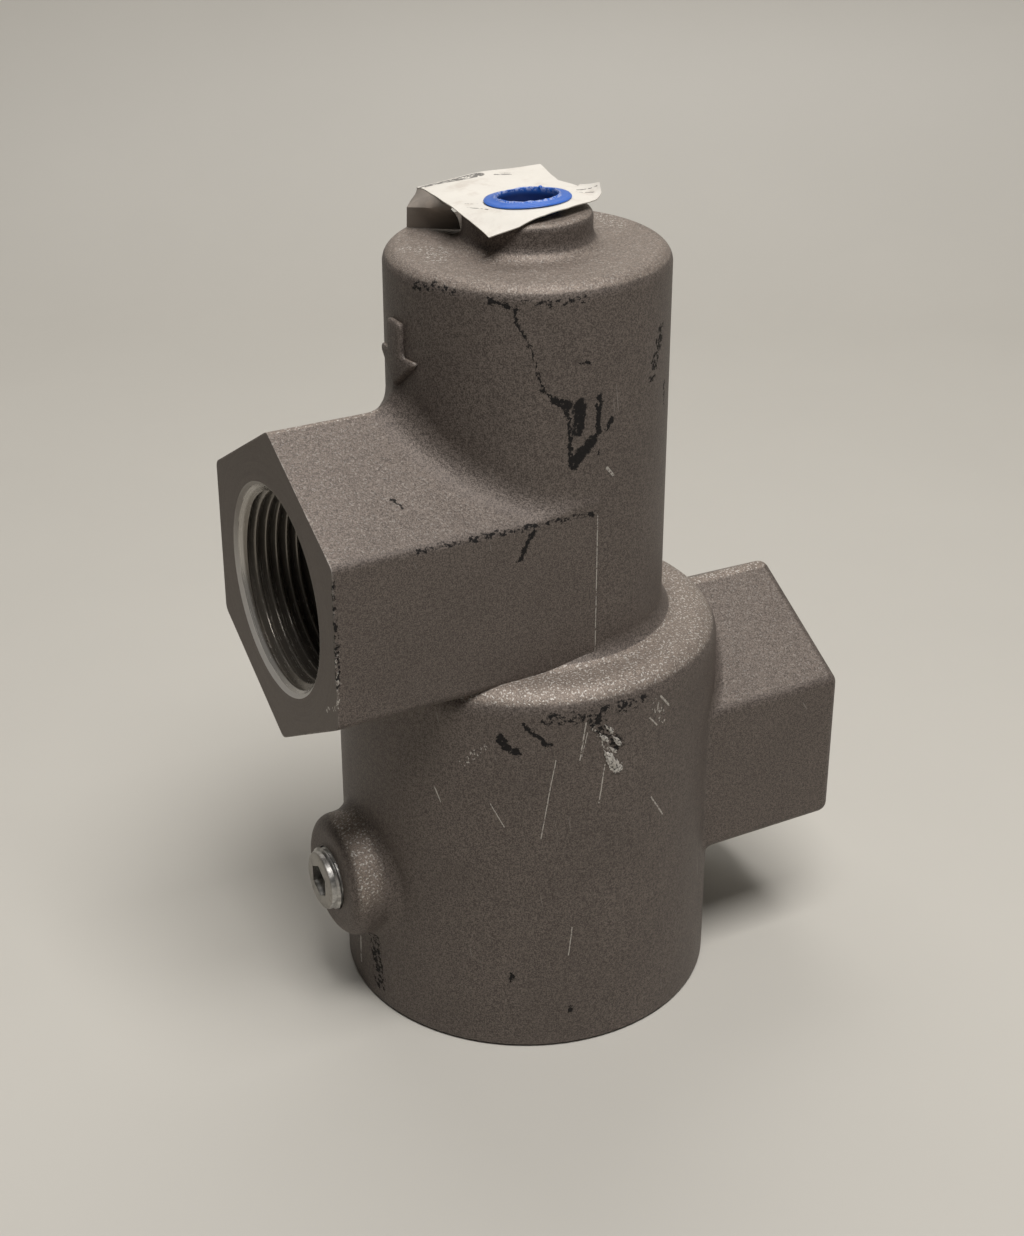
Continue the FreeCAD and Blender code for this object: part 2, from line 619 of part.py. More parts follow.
def piston():
    """Pilot piston with its O-ring, split guide ring and stem seal."""
    outer = d.piston_bore_radius - d.slip
    seal_height = d.piston_seal_section * 2 + d.axial_slip * 2
    seal_floor = outer - d.piston_seal_section * 2 - d.slip
    seal_top = piston_top - d.piston_crown_recess + d.piston_seal_section
    guide_floor = outer - d.guide_ring_wall - d.slip
    guide_bottom = piston_bottom + d.guide_ring_wall
    guide_top = guide_bottom + d.guide_ring_height + d.axial_slip * 2
    hub_bore = d.stem_top_radius + d.slip
    ring_room = d.stem_seal_section * 2
    body = turned("pilot_piston_turned", [
        (hub_bore, web_bottom),
        (d.piston_hub_radius, web_bottom),
        (d.piston_skirt_inner, web_bottom + d.guide_ring_wall),
        (d.piston_skirt_inner, piston_bottom),
        (outer, piston_bottom),
        (outer, guide_bottom),
        (guide_floor, guide_bottom),
        (guide_floor, guide_top),
        (outer, guide_top),
        (outer, seal_top - seal_height),
        (seal_floor, seal_top - seal_height),
        (seal_floor, seal_top),
        (outer, seal_top),
        (outer, piston_top),
        (d.piston_recess_radius, piston_top),
        (d.piston_recess_radius, web_top),
        (hub_bore, web_top),
        (hub_bore, web_bottom + d.piston_web / 2 + ring_room / 2),
        (hub_bore + ring_room, web_bottom + d.piston_web / 2 + ring_room / 2),
        (hub_bore + ring_room, web_bottom + d.piston_web / 2 - ring_room / 2),
        (hub_bore, web_bottom + d.piston_web / 2 - ring_room / 2),
    ])
    soften(body, d.stem_chamfer, [(outer, piston_top), (outer, piston_bottom)], "Chamfer")
    finish("pilot_piston", body)
    finish("piston_o_ring", torus("piston_o_ring", outer - d.piston_seal_section,
                                  d.piston_seal_section, seal_top - seal_height / 2))
    band = turned("guide_ring_band", ring_points(
        outer - d.guide_ring_wall, outer, guide_bottom + d.axial_slip,
        guide_top - d.axial_slip))
    split = box("guide_ring_gap", d.guide_ring_wall * 3, d.guide_ring_split,
                d.guide_ring_height * 2, x=outer - d.guide_ring_wall * 2,
                y=-d.guide_ring_split / 2, z=guide_bottom)
    finish("piston_guide_ring", cut("guide_ring_split", band, split))
    seal_section = d.stem_seal_section - d.slip
    finish("piston_stem_seal", torus("piston_stem_seal", hub_bore + d.stem_seal_section,
                                     seal_section, web_bottom + d.piston_web / 2))


def stem():
    """The stem: guide tail, poppet shoulder, shaft and piston thread."""
    shaft_top = web_bottom
    stem_top = web_top + d.washer_thickness + d.piston_nut_height + d.stem_chamfer / 2
    body = turned("valve_stem_turned", [
        (ZERO, stem_tip),
        (d.stem_tail_radius, stem_tip),
        (d.stem_tail_radius, stem_shoulder),
        (d.stem_radius, stem_shoulder),
        (d.stem_radius, shaft_top),
        (d.stem_top_radius, shaft_top),
        (d.stem_top_radius, stem_top),
        (ZERO, stem_top),
    ])
    soften(body, d.stem_chamfer,
           [(d.stem_tail_radius, stem_tip), (d.stem_top_radius, stem_top)], "Chamfer")
    finish("valve_stem", body)


def hex_nut(label, flats, height, bore, bottom):
    """A hexagon nut with chamfered corners."""
    corner = flats / math.sqrt(3.0)
    slope = corner - flats / 2
    prism = hexagon(f"{label}_hexagon", corner, height, z=bottom)
    blank = turned(f"{label}_blank", [
        (bore, bottom),
        (flats / 2, bottom),
        (corner + d.slip, bottom + slope * 0.6),
        (corner + d.slip, bottom + height - slope * 0.6),
        (flats / 2, bottom + height),
        (bore, bottom + height),
    ])
    finish(label, common(f"{label}_faced", prism, blank))


def fastenings():
    """Washers and nuts that clamp the piston and the poppet on the stem."""
    top_bore = d.stem_top_radius + d.slip
    tail_bore = d.stem_tail_radius + d.slip
    finish("piston_washer", turned("piston_washer_turned", ring_points(
        top_bore, d.piston_washer_radius, web_top, web_top + d.washer_thickness)))
    hex_nut("piston_nut", d.piston_nut_flats, d.piston_nut_height, top_bore,
            web_top + d.washer_thickness)
    washer_bottom = poppet_bottom - d.washer_thickness
    finish("poppet_washer", turned("poppet_washer_turned", ring_points(
        tail_bore, d.poppet_washer_radius, washer_bottom, poppet_bottom)))
    hex_nut("poppet_nut", d.poppet_nut_flats, d.poppet_nut_height, tail_bore,
            washer_bottom - d.poppet_nut_height)


def poppet():
    """Poppet, its flat seal, the retainer that clamps the seal and the stem seal."""
    bore = d.stem_tail_radius + d.slip
    room = d.stem_seal_section * 2
    spring_in = spring_radius - d.spring_wire_radius * 1.5
    spring_out = spring_radius + d.spring_wire_radius * 1.5
    body = turned("poppet_turned", [
        (bore, poppet_bottom),
        (spring_in, poppet_bottom),
        (spring_in, spring_top),
        (spring_out, spring_top),
        (spring_out, poppet_bottom),
        (poppet_radius - d.poppet_rim_rise, poppet_bottom),
        (poppet_radius, poppet_bottom + d.poppet_rim_rise),
        (poppet_radius, seal_bottom + d.poppet_rim_rise),
        (seal_outer_radius + d.slip, seal_bottom + d.poppet_rim_rise),
        (seal_outer_radius + d.slip, seal_bottom),
        (bore, seal_bottom),
        (bore, poppet_bottom + d.poppet_web / 2 + room / 2),
        (bore + room, poppet_bottom + d.poppet_web / 2 + room / 2),
        (bore + room, poppet_bottom + d.poppet_web / 2 - room / 2),
        (bore, poppet_bottom + d.poppet_web / 2 - room / 2),
    ])
    finish("poppet", body)
    finish("poppet_seal", turned("poppet_seal_turned", ring_points(
        seal_inner_radius, seal_outer_radius, seal_bottom, seat_line)))
    hub = seal_inner_radius - d.slip
    finish("seal_retainer", turned("seal_retainer_turned", [
        (bore, seal_bottom),
        (hub, seal_bottom),
        (hub, seat_line),
        (retainer_radius, seat_line),
        (retainer_radius - d.retainer_flange / 2, stem_shoulder),
        (bore, stem_shoulder),
    ]))
    finish("poppet_stem_seal", torus("poppet_stem_seal", bore + d.stem_seal_section,
                                     d.stem_seal_section - d.slip,
                                     poppet_bottom + d.poppet_web / 2))


def return_spring():
    """A coil spring with ground ends between the cap and the poppet."""
    length = spring_top - cap_top
    pitch = length / d.spring_turns
    body = doc.addObject("PartDesign::Body", "return_spring_coil")
    wire = body.newObject("Sketcher::SketchObject", "return_spring_wire")
    wire.AttachmentSupport = (origin_plane(body, "XZ_Plane"), [""])
    wire.MapMode = "FlatFace"
    start = cap_top - d.spring_wire_radius / 2
    centre = FreeCAD.Vector(spring_radius.value, start.value, 0)
    wire.addGeometry(Part.Circle(centre, FreeCAD.Vector(0, 0, 1), d.spring_wire_radius.value))
    for kind, size in (("DistanceX", spring_radius), ("DistanceY", start)):
        index = wire.addConstraint(Sketcher.Constraint(kind, -1, 1, 0, 3, size.value))
        wire.setExpression(f"Constraints[{index}]", size.text)
    index = wire.addConstraint(Sketcher.Constraint("Radius", 0, d.spring_wire_radius.value))
    wire.setExpression(f"Constraints[{index}]", d.spring_wire_radius.text)
    coil = body.newObject("PartDesign::AdditiveHelix", "return_spring_helix")
    coil.Profile = wire
    coil.ReferenceAxis = (wire, ["V_Axis"])
    coil.Mode = 0
    bind(coil, Pitch=pitch, Height=length + d.spring_wire_radius)
    doc.recompute()
    room = cylinder("return_spring_room", spring_radius + d.spring_wire_radius * 2, length,
                    z=cap_top)
    finish("return_spring", common("return_spring_ground", body, room))


def bottom_cap():
    """The cap with its O-ring, guide tower, bronze bushing and circlip."""
    outer = d.inlet_bore_radius - d.slip
    seal_floor = outer - d.cap_seal_section * 2 - d.slip
    seal_middle = cap_bottom + d.cap_thickness / 2
    half_groove = d.cap_seal_section + d.axial_slip
    bushing_bottom = tower_top - d.bushing_length
    tail = d.stem_tail_radius + d.axial_slip * 2
    body = turned("bottom_cap_turned", [
        (ZERO, cap_bottom + d.cap_recess_depth),
        (d.cap_recess_radius, cap_bottom + d.cap_recess_depth),
        (d.cap_recess_radius, cap_bottom),
        (outer, cap_bottom),
        (outer, seal_middle - half_groove),
        (seal_floor, seal_middle - half_groove),
        (seal_floor, seal_middle + half_groove),
        (outer, seal_middle + half_groove),
        (outer, cap_top),
        (d.cap_tower_radius, cap_top),
        (d.cap_tower_radius, tower_top),
        (d.bushing_radius, tower_top),
        (d.bushing_radius, bushing_bottom),
        (tail, bushing_bottom),
        (tail, tail_bottom),
        (ZERO, tail_bottom),
    ])
    soften(body, d.stem_chamfer,
           [(d.cap_tower_radius, tower_top), (outer, cap_top), (outer, cap_bottom)], "Chamfer")
    finish("bottom_cap", body)
    finish("cap_o_ring", torus("cap_o_ring", outer - d.cap_seal_section,
                               d.cap_seal_section, seal_middle))
    finish("stem_bushing", turned("stem_bushing_turned", ring_points(
        d.stem_tail_radius + d.slip, d.bushing_radius - d.slip / 4, bushing_bottom, tower_top)))


def cap_retaining_ring():
    """An internal circlip: an open ring with a drilled lug at each end."""
    bottom = d.ring_groove_bottom + d.axial_slip
    ring_gap = ring_inner_radius * d.ring_gap_share
    outer = ring_groove_radius - d.axial_slip
    band = turned("circlip_band", ring_points(
        ring_inner_radius, outer, bottom, bottom + d.ring_thickness))
    gap = box("circlip_gap", ring_gap * 2, ring_groove_radius, d.ring_thickness * 3,
              x=-ring_gap, y=ring_inner_radius * 0.5, z=bottom - d.ring_thickness)
    open_ring = cut("circlip_open", band, gap)
    lug_y = ring_inner_radius * 0.78
    lug_x = ring_gap + d.ring_lug_radius * 0.2
    lugs = []
    holes = []
    for name, x in (("left", -lug_x), ("right", lug_x)):
        lugs.append(cylinder(f"circlip_lug_{name}", d.ring_lug_radius, d.ring_thickness,
                             x=x, y=lug_y, z=bottom))
        holes.append(cylinder(f"circlip_hole_{name}", d.ring_lug_hole_radius,
                              d.ring_thickness * 3, x=x, y=lug_y,
                              z=bottom - d.ring_thickness))
    joined = fuse("circlip_joined", open_ring, *lugs)
    finish("cap_retaining_ring", cut("circlip", joined, fuse("circlip_holes", *holes)))


def supply_port_plug():
    """The hex-socket plug in the side boss, turned along the port axis."""
    radius = d.small_thread_radius - d.slip
    face = -(side_boss_reach + d.supply_plug_proud)
    length = d.supply_plug_length
    back = TOWARDS_INLET
    height = d.side_boss_height
    chamfer = d.supply_plug_chamfer
    middle = cylinder("plug_thread", radius, length - chamfer * 2, x=face + chamfer,
                      z=height, rotation=back)
    front = cone("plug_front", radius - chamfer, radius, chamfer, x=face, z=height,
                 rotation=back)
    rear = cone("plug_rear", radius, radius - chamfer, chamfer,
                x=face + length - chamfer, z=height, rotation=back)
    socket = hexagon("plug_socket", d.supply_plug_socket / math.sqrt(3.0),
                     d.supply_plug_socket_depth, x=face, z=height, rotation=back)
    blank = fuse("plug_blank", middle, front, rear)
    finish("supply_port_plug", cut("plug_socketed", blank, socket))


def pilot_port_plug():
    """The hollow blue cap plug, which leans a little on the tag under its flange."""
    body = turned("cap_plug_turned", [
        (ZERO, -d.cap_plug_depth + d.cap_plug_floor),
        (ZERO, -d.cap_plug_depth),
        (cap_plug_end_radius, -d.cap_plug_depth),
        (cap_plug_top_radius, ZERO),
        (cap_plug_flange_radius, ZERO),
        (cap_plug_flange_radius, d.cap_plug_flange),
        (cap_plug_hollow_radius, d.cap_plug_flange),
        (cap_plug_hollow_radius - d.cap_plug_floor / 2, -d.cap_plug_depth + d.cap_plug_floor),
    ])
    lean = FreeCAD.Rotation(LEAN_AXIS, d.cap_plug_lean.value)
    place(body, z=boss_top + d.cap_plug_seat, rotation=lean)
    finish("pilot_port_plug", body)


def paper_tag():
    """The paper tag: bent up under the cap plug's flange and folded down at the left."""
    under = boss_top + d.tag_lift
    over = under + d.tag_thickness
    foot = d.top_height + d.tag_flap_clear
    sheet = doc.addObject("PartDesign::Body", "tag_panel")
    panel = sketch_outline(sheet, "XZ_Plane", "tag_panel_outline", [
        (-d.tag_left, under),
        (-d.tag_bend, under + d.tag_bend_rise),
        (d.tag_right, under + d.tag_rise),
        (d.tag_right, over + d.tag_rise),
        (-d.tag_bend, over + d.tag_bend_rise),
        (-d.tag_left - d.tag_thickness, over),
    ])
    pad(sheet, panel, "tag_panel_pad", d.tag_front + d.tag_back)
    place(sheet, y=d.tag_back)
    corner = doc.addObject("PartDesign::Body", "tag_corner")
    wedge = sketch_outline(corner, "XY_Plane", "tag_corner_outline", [
        (-d.tag_left - d.tag_thickness, -d.tag_front),
        (d.tag_right + d.tag_thickness, -d.tag_front),
        (d.tag_right + d.tag_thickness, d.tag_skew - d.tag_front),
    ])
    pad(corner, wedge, "tag_corner_pad", d.tag_rise * 3)
    place(corner, z=boss_top)
    flap = doc.addObject("PartDesign::Body", "tag_flap")
    fold = sketch_outline(flap, "XZ_Plane", "tag_flap_outline", [
        (-d.tag_left, under),
        (-d.tag_left - d.tag_thickness, over),
        (-d.tag_flap_foot - d.tag_thickness, foot),
        (-d.tag_flap_foot, foot),
    ])
    pad(flap, fold, "tag_flap_pad", d.tag_back - d.tag_flap_front)
    place(flap, y=d.tag_back)
    hole = cylinder("tag_hole", tag_hole_radius, d.pilot_boss_rise, z=boss_top)
    folded = fuse("tag_folded", sheet, flap)
    finish("paper_tag", cut("tag_punched", cut("tag_skewed", folded, corner), hole))


def pad(body, sketch, name, length):
    feature = body.newObject("PartDesign::Pad", name)
    feature.Profile = sketch
    bind(feature, Length=length)
    doc.recompute()


def check():
    """Stop if any object failed or any sub-part is not a sound solid."""
    for item in doc.Objects:
        if {"Invalid", "Error"} & set(item.State):
            raise RuntimeError(f"{item.Name} failed: {item.State}")
    for label, item in parts.items():
        shape = item.Shape
        if shape.isNull() or not shape.isValid() or not shape.Solids:
            raise RuntimeError(f"{label} is not a sound solid")


valve_body()
seat_ring()
piston()
stem()
fastenings()
poppet()
return_spring()
bottom_cap()
cap_retaining_ring()
supply_port_plug()
pilot_port_plug()
paper_tag()
doc.recompute()
check()

os.makedirs("parts", exist_ok=True)
for label, item in parts.items():
    item.Shape.exportStep(f"parts/{label}.step")
    print(f"{label}: {len(item.Shape.Solids)} solid, {item.Shape.Volume / 1000:.3f} cm3")
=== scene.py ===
"""Relay valve dressed over its solids: casting, pipe threads, plugs, tag and working parts.

Lengths are metres, or millimetres where a name or comment says so. +Z is up, the outlet faces
-X and the inlet faces +X. A bearing is in degrees round the valve's axis, from the front (-Y)
towards the inlet.
"""
import json
import math
from contextlib import contextmanager
from functools import cache

import bmesh
import bpy
from bpy.props import FloatProperty, FloatVectorProperty, IntProperty, PointerProperty
from mathutils import Matrix, Vector, noise


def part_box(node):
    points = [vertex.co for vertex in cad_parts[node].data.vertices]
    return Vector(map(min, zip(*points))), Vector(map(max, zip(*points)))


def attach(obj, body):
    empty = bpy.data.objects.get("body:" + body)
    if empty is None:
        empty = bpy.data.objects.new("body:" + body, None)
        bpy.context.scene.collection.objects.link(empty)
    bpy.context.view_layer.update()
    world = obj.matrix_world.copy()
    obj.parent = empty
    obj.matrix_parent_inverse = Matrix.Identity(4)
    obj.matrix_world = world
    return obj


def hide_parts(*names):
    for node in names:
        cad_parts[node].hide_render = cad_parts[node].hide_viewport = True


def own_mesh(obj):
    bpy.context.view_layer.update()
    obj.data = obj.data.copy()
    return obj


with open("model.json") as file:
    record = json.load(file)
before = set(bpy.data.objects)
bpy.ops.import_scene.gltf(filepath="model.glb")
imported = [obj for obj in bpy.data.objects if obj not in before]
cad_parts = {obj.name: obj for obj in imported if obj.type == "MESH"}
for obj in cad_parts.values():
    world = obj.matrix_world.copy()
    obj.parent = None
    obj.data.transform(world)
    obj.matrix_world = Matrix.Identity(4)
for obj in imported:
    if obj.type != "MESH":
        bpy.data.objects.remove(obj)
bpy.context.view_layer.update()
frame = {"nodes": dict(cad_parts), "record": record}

bl_info = {
    "name": "Relay Valve",
    "version": (1, 0, 0),
    "blender": (4, 5, 0),
    "location": "3D View > Sidebar > Relay Valve",
    "description": "Dresses a relay valve's solids with threads, plugs, a tag and finishes",
    "category": "Object",
}

# A millimetre, how near vertices merge, the front's angle from +X and the tint of the light
MM = 0.001
MERGE = 2e-6
FRONT = -90.0
WARM = (1.0, 0.975, 0.945)
BODY_OF = {node: body for body, nodes in frame["record"]["behaviour"]["bodies"].items()
           for node in nodes}


def linear(value):
    """One 8-bit sRGB channel as scene linear."""
    share = value / 255
    return share / 12.92 if share <= 0.04045 else ((share + 0.055) / 1.055) ** 2.4


def paint(name, description, *channels):
    """A colour property whose default is given in 8-bit sRGB."""
    return FloatVectorProperty(name=name, description=description, subtype="COLOR", size=3,
                               min=0.0, max=1.0, default=[linear(c) for c in channels])


def number(name, description, default, **settings):
    return FloatProperty(name=name, description=description, default=default, **settings)


def length(name, description, millimetres):
    """A length property whose default is given in millimetres."""
    return number(name, description, millimetres * MM, unit="LENGTH", precision=5)


def angle(name, description, degrees):
    """An angle property whose default is given in degrees."""
    return number(name, description, math.radians(degrees), subtype="ANGLE")


class ValveFinishes(bpy.types.PropertyGroup):
    """Colours of the valve."""

    cast_dark: paint("Casting, dark grain", "Hollows of the cast skin", 77, 70, 66)
    cast_light: paint("Casting, light grain", "Crests of the cast skin", 128, 118, 111)
    machined: paint("Machined casting", "Port faces, base rim and bores", 104, 95, 88)
    # Bare metal, also painted as sparkle on the casting and as highlights low in the ports' cones
    # and threads
    bare: paint("Bare metal", "Worn edges, nicks and the gouge", 214, 210, 204)
    scuff: paint("Scuffs", "Black rubber and paint marks", 14, 13, 14)
    thread: paint("Pipe thread", "Flanks of the pipe threads", 132, 126, 118)
    zinc: paint("Zinc", "Plated plug", 206, 204, 200)
    blue: paint("Cap plug", "Moulded plastic cap plug", 30, 96, 192)
    # Painted shade: the cap plug's blue darkened for inside its hollow
    blue_painted_shade: paint("Cap plug's hollow", "Blue plastic in its own shade", 24, 38, 84)
    # Dust, also the colour of the painted sheen and highlights on the casting's level faces,
    # rounded edges and boss
    dust: paint("Dust", "Pale dust on level faces of the casting", 176, 162, 150)
    paper: paint("Tag", "Paper tag", 222, 218, 210)
    # Partly the tag's greyer back, partly painted shade on the flap folded under the tag
    paper_back_shaded: paint("Tag's back", "Bare side of the tag, seen on its folded flap", 132, 124, 116)
    print_grey: paint("Tag marks", "Smudged bars on the tag", 70, 68, 66)
    alloy: paint("Turned alloy", "Piston, poppet and cap", 168, 168, 170)
    brass: paint("Brass", "Seat ring and bushing", 178, 142, 78)
    steel: paint("Steel", "Stem, nuts and washers", 150, 150, 152)
    spring: paint("Spring steel", "Return spring and circlip", 96, 96, 100)
    rubber: paint("Rubber", "O-rings and poppet seal", 30, 30, 31)
    plastic: paint("Guide plastic", "Guide ring of the piston", 120, 72, 44)
    floor: paint("Floor", "Floor and backdrop", 200, 197, 190)


class ValveSizes(bpy.types.PropertyGroup):
    """Sizes of the pieces that the solids leave plain."""

    thread_pitch: length("Thread pitch", "Main pipe threads, 11.5 to the inch", 2.209)
    thread_height: length("Thread height", "Root to crest of the main threads", 1.55)
    thread_play: length("Thread play", "Thread inside the bore's wall", 0.02)
    thread_steps: IntProperty(name="Thread steps", description="Steps in each turn of a thread",
                              default=96, min=24, max=192)
    plug_pitch: length("Plug thread pitch", "Zinc plug's thread, 18 to the inch", 1.411)
    spring_turns: number("Spring turns", "Turns of the return spring", 6.5, min=3.0, max=12.0)
    ridge_width: length("Parting line width", "Ridge that the mould halves leave", 1.2)
    ridge_rise: length("Parting line rise", "Height of that ridge", 0.1)
    arrow_rise: length("Flow arrow rise", "Raised arrow above the outlet", 1.3)
    grain: length("Cast grain", "Size of the sand's grains on the casting", 0.28)


class ValveStage(bpy.types.PropertyGroup):
    """Camera and light."""

    azimuth: angle("Azimuth", "Camera round the valve, 0 looks along +Y", -28.5)
    elevation: angle("Elevation", "Camera above the horizon", 25.74)
    distance: length("Distance", "Camera to its target", 414.2)
    target_side: length("Target, sideways", "Target to the camera's right of the axis", -2.97)
    target_height: length("Target height", "Target above the base", 93.46)
    lens: number("Focal length", "Camera lens", 58.4, unit="CAMERA")
    shift: number("Vertical shift", "Photograph's off-centre crop", -0.0458)
    ceiling: number("Ceiling light", "Overhead soft box", 12.0, unit="POWER")
    back: number("Back light", "High lamp behind the valve", 1.6, unit="POWER")
    surround: number("Surround", "Strength of the room's light", 0.05)


def finishes():
    return bpy.context.scene.valve_finishes


def sizes():
    return bpy.context.scene.valve_sizes


# Selection and modelling


def clear_selection():
    active = bpy.context.object
    if active and active.mode != "OBJECT":
        bpy.ops.object.mode_set(mode="OBJECT")
    bpy.ops.object.select_all(action="DESELECT")


def pick(obj):
    """Make obj the only selected object and the active one."""
    clear_selection()
    obj.select_set(True)
    bpy.context.view_layer.objects.active = obj


def added(name, operator, location=(0, 0, 0), **settings):
    """What an add operator makes, under its own name."""
    clear_selection()
    operator(location=location, **settings)
    obj = bpy.context.object
    obj.name = name
    obj.data.name = name
    return obj


@contextmanager
def editing(obj):
    """Edit mode on obj alone, with its whole mesh selected."""
    pick(obj)
    bpy.ops.object.mode_set(mode="EDIT")
    bpy.ops.mesh.select_all(action="SELECT")
    yield
    bpy.ops.mesh.select_mode(type="VERT")
    bpy.ops.object.mode_set(mode="OBJECT")


def select_rim():
    """In edit mode, select the open edges and nothing else."""
    bpy.ops.mesh.select_mode(type="EDGE")
    bpy.ops.mesh.select_all(action="DESELECT")
    bpy.ops.mesh.select_non_manifold(extend=False, use_wire=False, use_boundary=True,
                                     use_multi_face=False, use_non_contiguous=False,
                                     use_verts=False)


def extrude_edges(*offset):
    bpy.ops.mesh.extrude_edges_move(TRANSFORM_OT_translate={"value": offset})


def extrude_faces(*offset):
    bpy.ops.mesh.extrude_region_move(TRANSFORM_OT_translate={"value": offset})


def trace(name, points, closed=False):
    """An outline drawn by extruding one vertex from point to point."""
    obj = added(name, bpy.ops.mesh.primitive_plane_add, size=MM)
    with editing(obj):
        bpy.ops.mesh.merge(type="CENTER")
        bpy.ops.transform.translate(value=points[0])
        for start, end in zip(points, points[1:]):
            bpy.ops.mesh.extrude_vertices_move(
                TRANSFORM_OT_translate={"value": Vector(end) - Vector(start)})
        if closed:
            bpy.ops.mesh.select_all(action="SELECT")
            bpy.ops.mesh.edge_face_add()
    return obj


def apply_all(obj):
    """Apply obj's modifiers in their order."""
    pick(obj)
    for modifier in list(obj.modifiers):
        bpy.ops.object.modifier_apply(modifier=modifier.name)
    return obj


def turn(obj, turns, pitch, steps):
    """Turn an outline about Z, rising by pitch each turn."""
    screw = obj.modifiers.new("Turn", "SCREW")
    screw.screw_offset = pitch
    screw.iterations = turns
    screw.steps = screw.render_steps = steps
    return close_up(apply_all(obj))


def close_up(obj):
    """Merge doubled vertices and face every face outwards."""
    with editing(obj):
        bpy.ops.mesh.remove_doubles(threshold=MERGE)
        bpy.ops.mesh.normals_make_consistent(inside=False)
    return obj


def shape(obj, rule):
    """Move each vertex of obj to the place that rule gives for it."""
    for vertex in obj.data.vertices:
        vertex.co = rule(vertex.co.copy())
    obj.data.update()


def seat(obj, matrix=Matrix.Identity(4)):
    """Put a piece in its place and keep the place in its mesh."""
    obj.matrix_world = matrix @ obj.matrix_world
    pick(obj)
    bpy.ops.object.transform_apply(location=True, rotation=True, scale=True)


def polar(radius, turned, height=0.0):
    """The point at this radius, angle and height."""
    return Vector((radius * math.cos(turned), radius * math.sin(turned), height))


def ramp(value, low, high):
    """How far value has come from low to high, kept between 0 and 1."""
    return min(1.0, max(0.0, (value - low) / (high - low)))


def smooth_edges(obj, degrees):
    pick(obj)
    bpy.ops.object.shade_smooth_by_angle(angle=math.radians(degrees))


def finish_piece(obj, body, material, stands_for=(), smooth=35.0):
    """Smooth, colour and hang a finished piece on its body."""
    obj.data.materials.clear()
    obj.data.materials.append(material)
    smooth_edges(obj, smooth)
    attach(obj, body)
    if stands_for:
        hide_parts(*stands_for)


def dressed_copy(node, name, material, smooth=32.0):
    """A merged, smoothly shaded copy of a solid that takes its place."""
    piece = bpy.data.objects.new(name, frame["nodes"][node].data.copy())
    bpy.context.scene.collection.objects.link(piece)
    pick(piece)
    bpy.ops.mesh.customdata_custom_splitnormals_clear()
    finish_piece(close_up(piece), BODY_OF[node], material, [node], smooth)
    piece.modifiers.new("Weighted normals", "WEIGHTED_NORMAL").keep_sharp = True
    return apply_all(piece)


# Node trees


